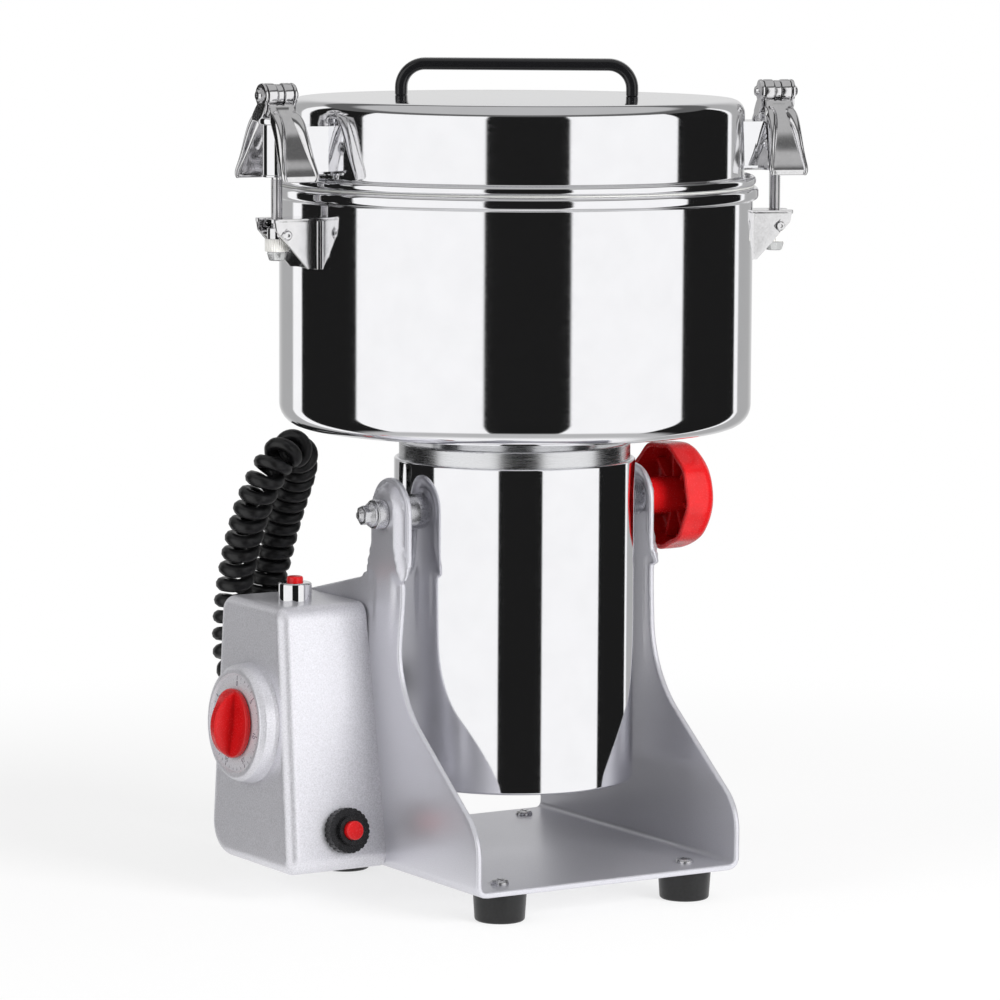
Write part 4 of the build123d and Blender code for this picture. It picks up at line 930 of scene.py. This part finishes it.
# ---- lock knob
def make_lock_knob():
    """Hollow hand knob: shallow scallops round its rim, a rounded far edge, hub and ribs."""
    low, high = box("lock_knob")
    far, stud_end = high.x - axis_x, low.x - axis_x
    near, hub_end = far - 19.5, cradle_half + 0.6
    lobes, steps, scallop = 9, 20, 0.6
    radius, wall, hub, bore, bearing = 28.3, 2.4, 9.5, 3.6, -13
    # over the rim into the hollow: (from the near edge, reach past the radius, the scallops' share)
    shell = [(19.5, -12, 0), (19.4, -8.4, 0), (18.9, -5.8, 0.05), (17.8, -3.5, 0.12), (16.2, -1.8, 0.25),
             (14.3, -0.7, 0.4), (12, -0.15, 0.6), (9, 0, 0.8), (5, 0.05, 0.95), (0.7, 0, 1), (0, -0.7, 1),
             (0, 0.5 - wall, 1), (0.5, -wall, 1), (5, -wall - 0.2, 1), (13, -wall - 1, 0.7),
             (15, -wall - 2.2, 0.5), (16, -wall - 4.4, 0.3)]
    profile = [(near + x, radius + reach, share) for x, reach, share in shell]
    profile += [(near + 16.2, hub + 1.2, 0), (near + 15, hub, 0), (hub_end + 0.6, hub, 0),
                (hub_end, hub - 0.6, 0), (hub_end, bore, 0), (hub_end + 12, bore, 0)]
    rings = []
    for x, reach, share in profile:
        reaches = [reach - share * scallop * (1 - c) for c, _ in circle(steps)] * lobes
        rings.append([(x, r * c, r * s) for r, (c, s) in zip(reaches, circle(lobes * steps))])
    parts = [skin("shell", rings, 30)]
    rib_start, rib_end = hub - 0.6, radius - wall - 2.6
    for k in range(lobes):
        rib = prism("rib", mirrored([(rib_start, -1.0), (rib_end, -1.0)]), near + 9.5, near + 16.4, 0.3)
        parts.append(placed(rib, turn(360 * (k + 0.5) / lobes, "X") @ stood_up))
    dress(join("lock_grip", parts), on_pivot @ turn(bearing, "X"), "lock", red, ["lock_knob"])
    stud = rod("lock_stud", 3.5, stud_end, far - 6, 48, {1: 0.6}, 2)
    dress(stud, on_pivot @ outward_bar, "lock", plated)


make_lock_knob()


# ---- tilt pivot
def make_pivot():
    """Short bush on the left ear with a journal through it, and the bolt's washer and domed hexagon head."""
    face = -cradle_half - 0.3
    bush_end = face - 5.6
    block_face = box("pivot_bush")[1].x - axis_x
    bush = rounded([(3, bush_end), (7.5, bush_end), (7.5, face), (5, face), (5, block_face), (3, block_face)],
                   {1: 0.7}, 3)
    bolt = rounded([(0, bush_end - 8.4), (1.8, bush_end - 8.4), (3.6, bush_end - 6.4), (3.6, bush_end - 4.6),
                    (6.2, bush_end - 1.4), (6.2, bush_end), (2.9, bush_end), (2.9, block_face),
                    (0, block_face)], {1: 0.8, 2: 1.2, 4: 0.5}, 3)
    head = prism("hexagon", arc(5.2, 10, 310, 60), bush_end - 6.4, bush_end - 0.8, 0.5)
    turned = lathe("bush_turned", bush, 96)
    domed = join("bolt_domed", [lathe("bolt", bolt, 64), head])
    for piece, node in ((turned, "pivot_bush"), (domed, "pivot_bolt")):
        dress(piece, on_pivot @ outward_bar, "mill", plated, [node])


make_pivot()


# ---- curly cord
cord_route = [
    (-104, 87, 100), (-104, 104, 100), (-105, 111, 115), (-105, 107, 146), (-105, 98, 170), (-104.5, 89, 189),
    (-102.5, 81, 204), (-97.5, 76.5, 216), (-87.5, 78.5, 223), (-77.5, 85.5, 219.5), (-73.5, 94, 208.5),
    (-73.5, 103.5, 194), (-74.5, 111.5, 177), (-77, 117, 156), (-81, 121.5, 134), (-84, 122.5, 113),
    (-79, 119, 97), (-66, 118, 90), (0, 118, 90), (0, 73.5, 90)]
coil_radius, wire_radius, wire_sides = 10, 3.5, 10
loose_pitch, tight_pitch = 8.8, 7.3
tight_from, tight_to = 0.42, 0.8  # shares of the route over which the coil lies tight
points_per_turn = 18
lead = 9  # straight run that swells into the coil at each end


def cord_line():
    """Points read from the route's own spline, in metres."""
    data = bpy.data.curves.new("cord_line", "CURVE")
    data.dimensions = "3D"
    data.resolution_u = 40
    spline = data.splines.new("NURBS")
    spline.points.add(len(cord_route) - 1)
    for point, (x, y, z) in zip(spline.points, cord_route):
        point.co = ((x + axis_x) * MM, y * MM, z * MM, 1)
    spline.order_u = 3
    spline.use_endpoint_u = True
    holder = new_object("cord_line", data)
    line = [v.co.copy() for v in evaluated(holder).vertices]
    bpy.data.objects.remove(holder)
    return line


def helix(line):
    """The coil's own line about the route's, straight where it leaves and enters a gland, in metres."""
    total = sum((b - a).length for a, b in zip(line, line[1:]))
    centres = [line[0].copy()]
    wound, gone = 0.0, 0.0
    normal = Vector((1, 0, 0))
    for a, b in zip(line, line[1:]):
        along = (b - a).normalized()
        normal = (normal - along * normal.dot(along)).normalized()
        other = along.cross(normal)
        step = (b - a).length
        pitch = MM * (tight_pitch if tight_from < gone / total < tight_to else loose_pitch)
        pieces = max(1, ceil(step / (pitch / points_per_turn)))
        for k in range(1, pieces + 1):
            wound += tau * step / pieces / pitch
            here = gone + step * k / pieces
            radius = (coil_radius - wire_radius) * MM * ease(min(here, total - here) / (lead * MM))
            out = (normal * cos(wound) + other * sin(wound)) * radius
            centres.append(a + along * (step * k / pieces) + out)
        gone += step
    return centres


def make_cord():
    """Round wire along the helix, its section carried from one ring to the next."""
    centres = helix(cord_line())
    ways = directions(centres)
    normal = ways[0].orthogonal()
    rings = []
    for centre, along in zip(centres, ways):
        normal = (normal - along * normal.dot(along)).normalized()
        other = along.cross(normal)
        rings.append([centre / MM + (normal * c + other * s) * wire_radius for c, s in circle(wire_sides)])
    piece = skin("curly_cord", rings)
    piece.data.materials.append(rubber)
    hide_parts("curly_cord_box_side", "curly_cord_motor_side")
    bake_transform(piece)


make_cord()


# ---- studio, in metres
azimuth, elevation, roll = radians(31.66), radians(6.844), 0.0052  # the camera's
camera_away, focal_pixels, frame_pixels, sensor = 2.47868, 4863.2, 1000, 36.0
camera_target = Vector((-0.0021, 0.0, 0.19897))
facing = -pi / 2 - azimuth  # bearing of the camera's side
# tall dark panels round the mill, as bearings in degrees from the camera's side, right positive
dark_panels = ((-127, -83), (-15, 26.5), (88, 133))
panel_edge, panel_level = 0.8, 0.012
back_start, back_level, back_edge = 138, 0.42, 1.2  # the room behind the mill, from this bearing on
rise_start, rise_end, rise = 155, 175, 0.3  # and how it brightens straight behind
below_level, wall_border = 0.5, (-0.80, -0.70)  # under the walls, and the heights where they begin
# over the walls a dark cornice and the ceiling: heights on the unit sphere where each begins, and its level
upper_bands = ((0.5, 0.54, 0.12), (0.66, 0.74, 0.5))
room_light = (0.2, 0.8, 0.68, 0.4)  # plain light on all that isn't shiny: two heights and their levels


def make_camera():
    data = bpy.data.cameras.new("camera")
    data.sensor_width = sensor
    data.lens = focal_pixels / frame_pixels * sensor
    data.clip_start, data.clip_end = 0.1, 200.0
    camera = new_object("camera", data)
    view = Vector((sin(azimuth) * cos(elevation), cos(azimuth) * cos(elevation), -sin(elevation)))
    level = view.cross(Vector((0, 0, 1))).normalized()
    upright = level.cross(view)
    right = level * cos(roll) + upright * sin(roll)
    up = upright * cos(roll) - level * sin(roll)
    aimed = Matrix((right, up, -view)).transposed().to_4x4()
    camera.matrix_world = shift(*(camera_target - view * camera_away)) @ aimed
    bpy.context.scene.camera = camera


def make_world():
    """White to the camera; metal sees a white room with tall dark panels; plain pale light otherwise."""
    world = bpy.data.worlds.new("studio")
    bpy.context.scene.world = world
    tree = Tree(world)
    tree.nodes.clear()
    generated = tree.add("ShaderNodeTexCoord", output="Generated")
    x, y, z = tree.add("ShaderNodeSeparateXYZ", [(0, generated)]).node.outputs
    bearing = tree.math("ARCTAN2", y, x)

    def turned_by(degrees):
        """How many degrees a direction's bearing is from one off the camera's side."""
        off = tree.math("WRAP", tree.math("SUBTRACT", bearing, facing + radians(degrees)), pi, -pi)
        return tree.math("DEGREES", tree.math("ABSOLUTE", off))

    wall = tree.ramp(turned_by(0), back_start - back_edge, back_start + back_edge, 1, back_level)
    wall = tree.math("ADD", wall, tree.ramp(turned_by(0), rise_start, rise_end, 0, rise))
    for start, end in dark_panels:
        middle, half = (start + end) / 2, (end - start) / 2
        wall = tree.math("MULTIPLY", wall, tree.ramp(turned_by(middle), half - panel_edge, half + panel_edge))
    wall = tree.math("MAXIMUM", wall, panel_level)
    bright = tree.ramp(z, *wall_border, below_level, wall)
    for low, high, level in upper_bands:
        bright = tree.ramp(z, low, high, bright, level)
    rays = tree.nodes.new("ShaderNodeLightPath").outputs
    shiny = tree.math("MAXIMUM", rays["Is Glossy Ray"], rays["Is Transmission Ray"])
    level = tree.ramp(shiny, 0, 1, tree.ramp(z, *room_light), bright)
    level = tree.math("MAXIMUM", level, rays["Is Camera Ray"])
    back = tree.add("ShaderNodeBackground", [("Color", (1, 1, 1, 1)), ("Strength", level)])
    tree.add("ShaderNodeOutputWorld", [("Surface", back)])


def make_floor():
    """Pale sweep that shows white and keeps the mill's soft shadow; metal sees only its near part."""
    half = 40.0 / MM
    corners = [(-half, -half, 0), (half, -half, 0), (half, half, 0), (-half, half, 0)]
    floor = mesh_object("floor", corners, [[0, 1, 2, 3]])
    material = bpy.data.materials.new("floor")
    tree = Tree(material)
    tree.nodes.clear()
    rays = tree.nodes.new("ShaderNodeLightPath").outputs
    here = tree.add("ShaderNodeTexCoord", output="Object")
    distance = tree.add("ShaderNodeVectorMath", [(0, here)], "Value", operation="LENGTH")
    near = tree.add("ShaderNodeAddShader", [(0, tree.glow(0.72)), (1, tree.matte(0.3))])
    shown = tree.mix(tree.ramp(distance, 0.35, 0.75), near, tree.glow(1.0))
    mirrored_part = tree.mix(tree.ramp(distance, 0.13, 0.22), near, tree.add("ShaderNodeBsdfTransparent"))
    surface = tree.mix(rays["Is Camera Ray"], tree.matte(0.8), shown)
    surface = tree.mix(rays["Is Glossy Ray"], surface, mirrored_part)
    tree.add("ShaderNodeOutputMaterial", [("Surface", surface)])
    floor.data.materials.append(material)


def make_lamp(name, bearing, height, distance, size, power):
    """Square soft light aimed at the mill; bearing in degrees from the camera's side, right positive."""
    angle = facing + radians(bearing)
    data = bpy.data.lights.new(name, "AREA")
    data.size, data.energy = size, power
    lamp = new_object(name, data)
    lamp.location = (distance * cos(angle), distance * sin(angle), height)
    aim = Vector((0, 0, 0.15)) - lamp.location
    lamp.rotation_mode = "QUATERNION"
    lamp.rotation_quaternion = aim.to_track_quat("-Z", "Y")
    lamp.visible_glossy = False


make_camera()
make_world()
make_floor()
make_lamp("key", bearing=48, height=0.8, distance=2.0, size=1.0, power=44)
make_lamp("fill", bearing=-60, height=0.9, distance=2.2, size=1.2, power=15)

bpy.context.scene.view_settings.view_transform = "Standard"
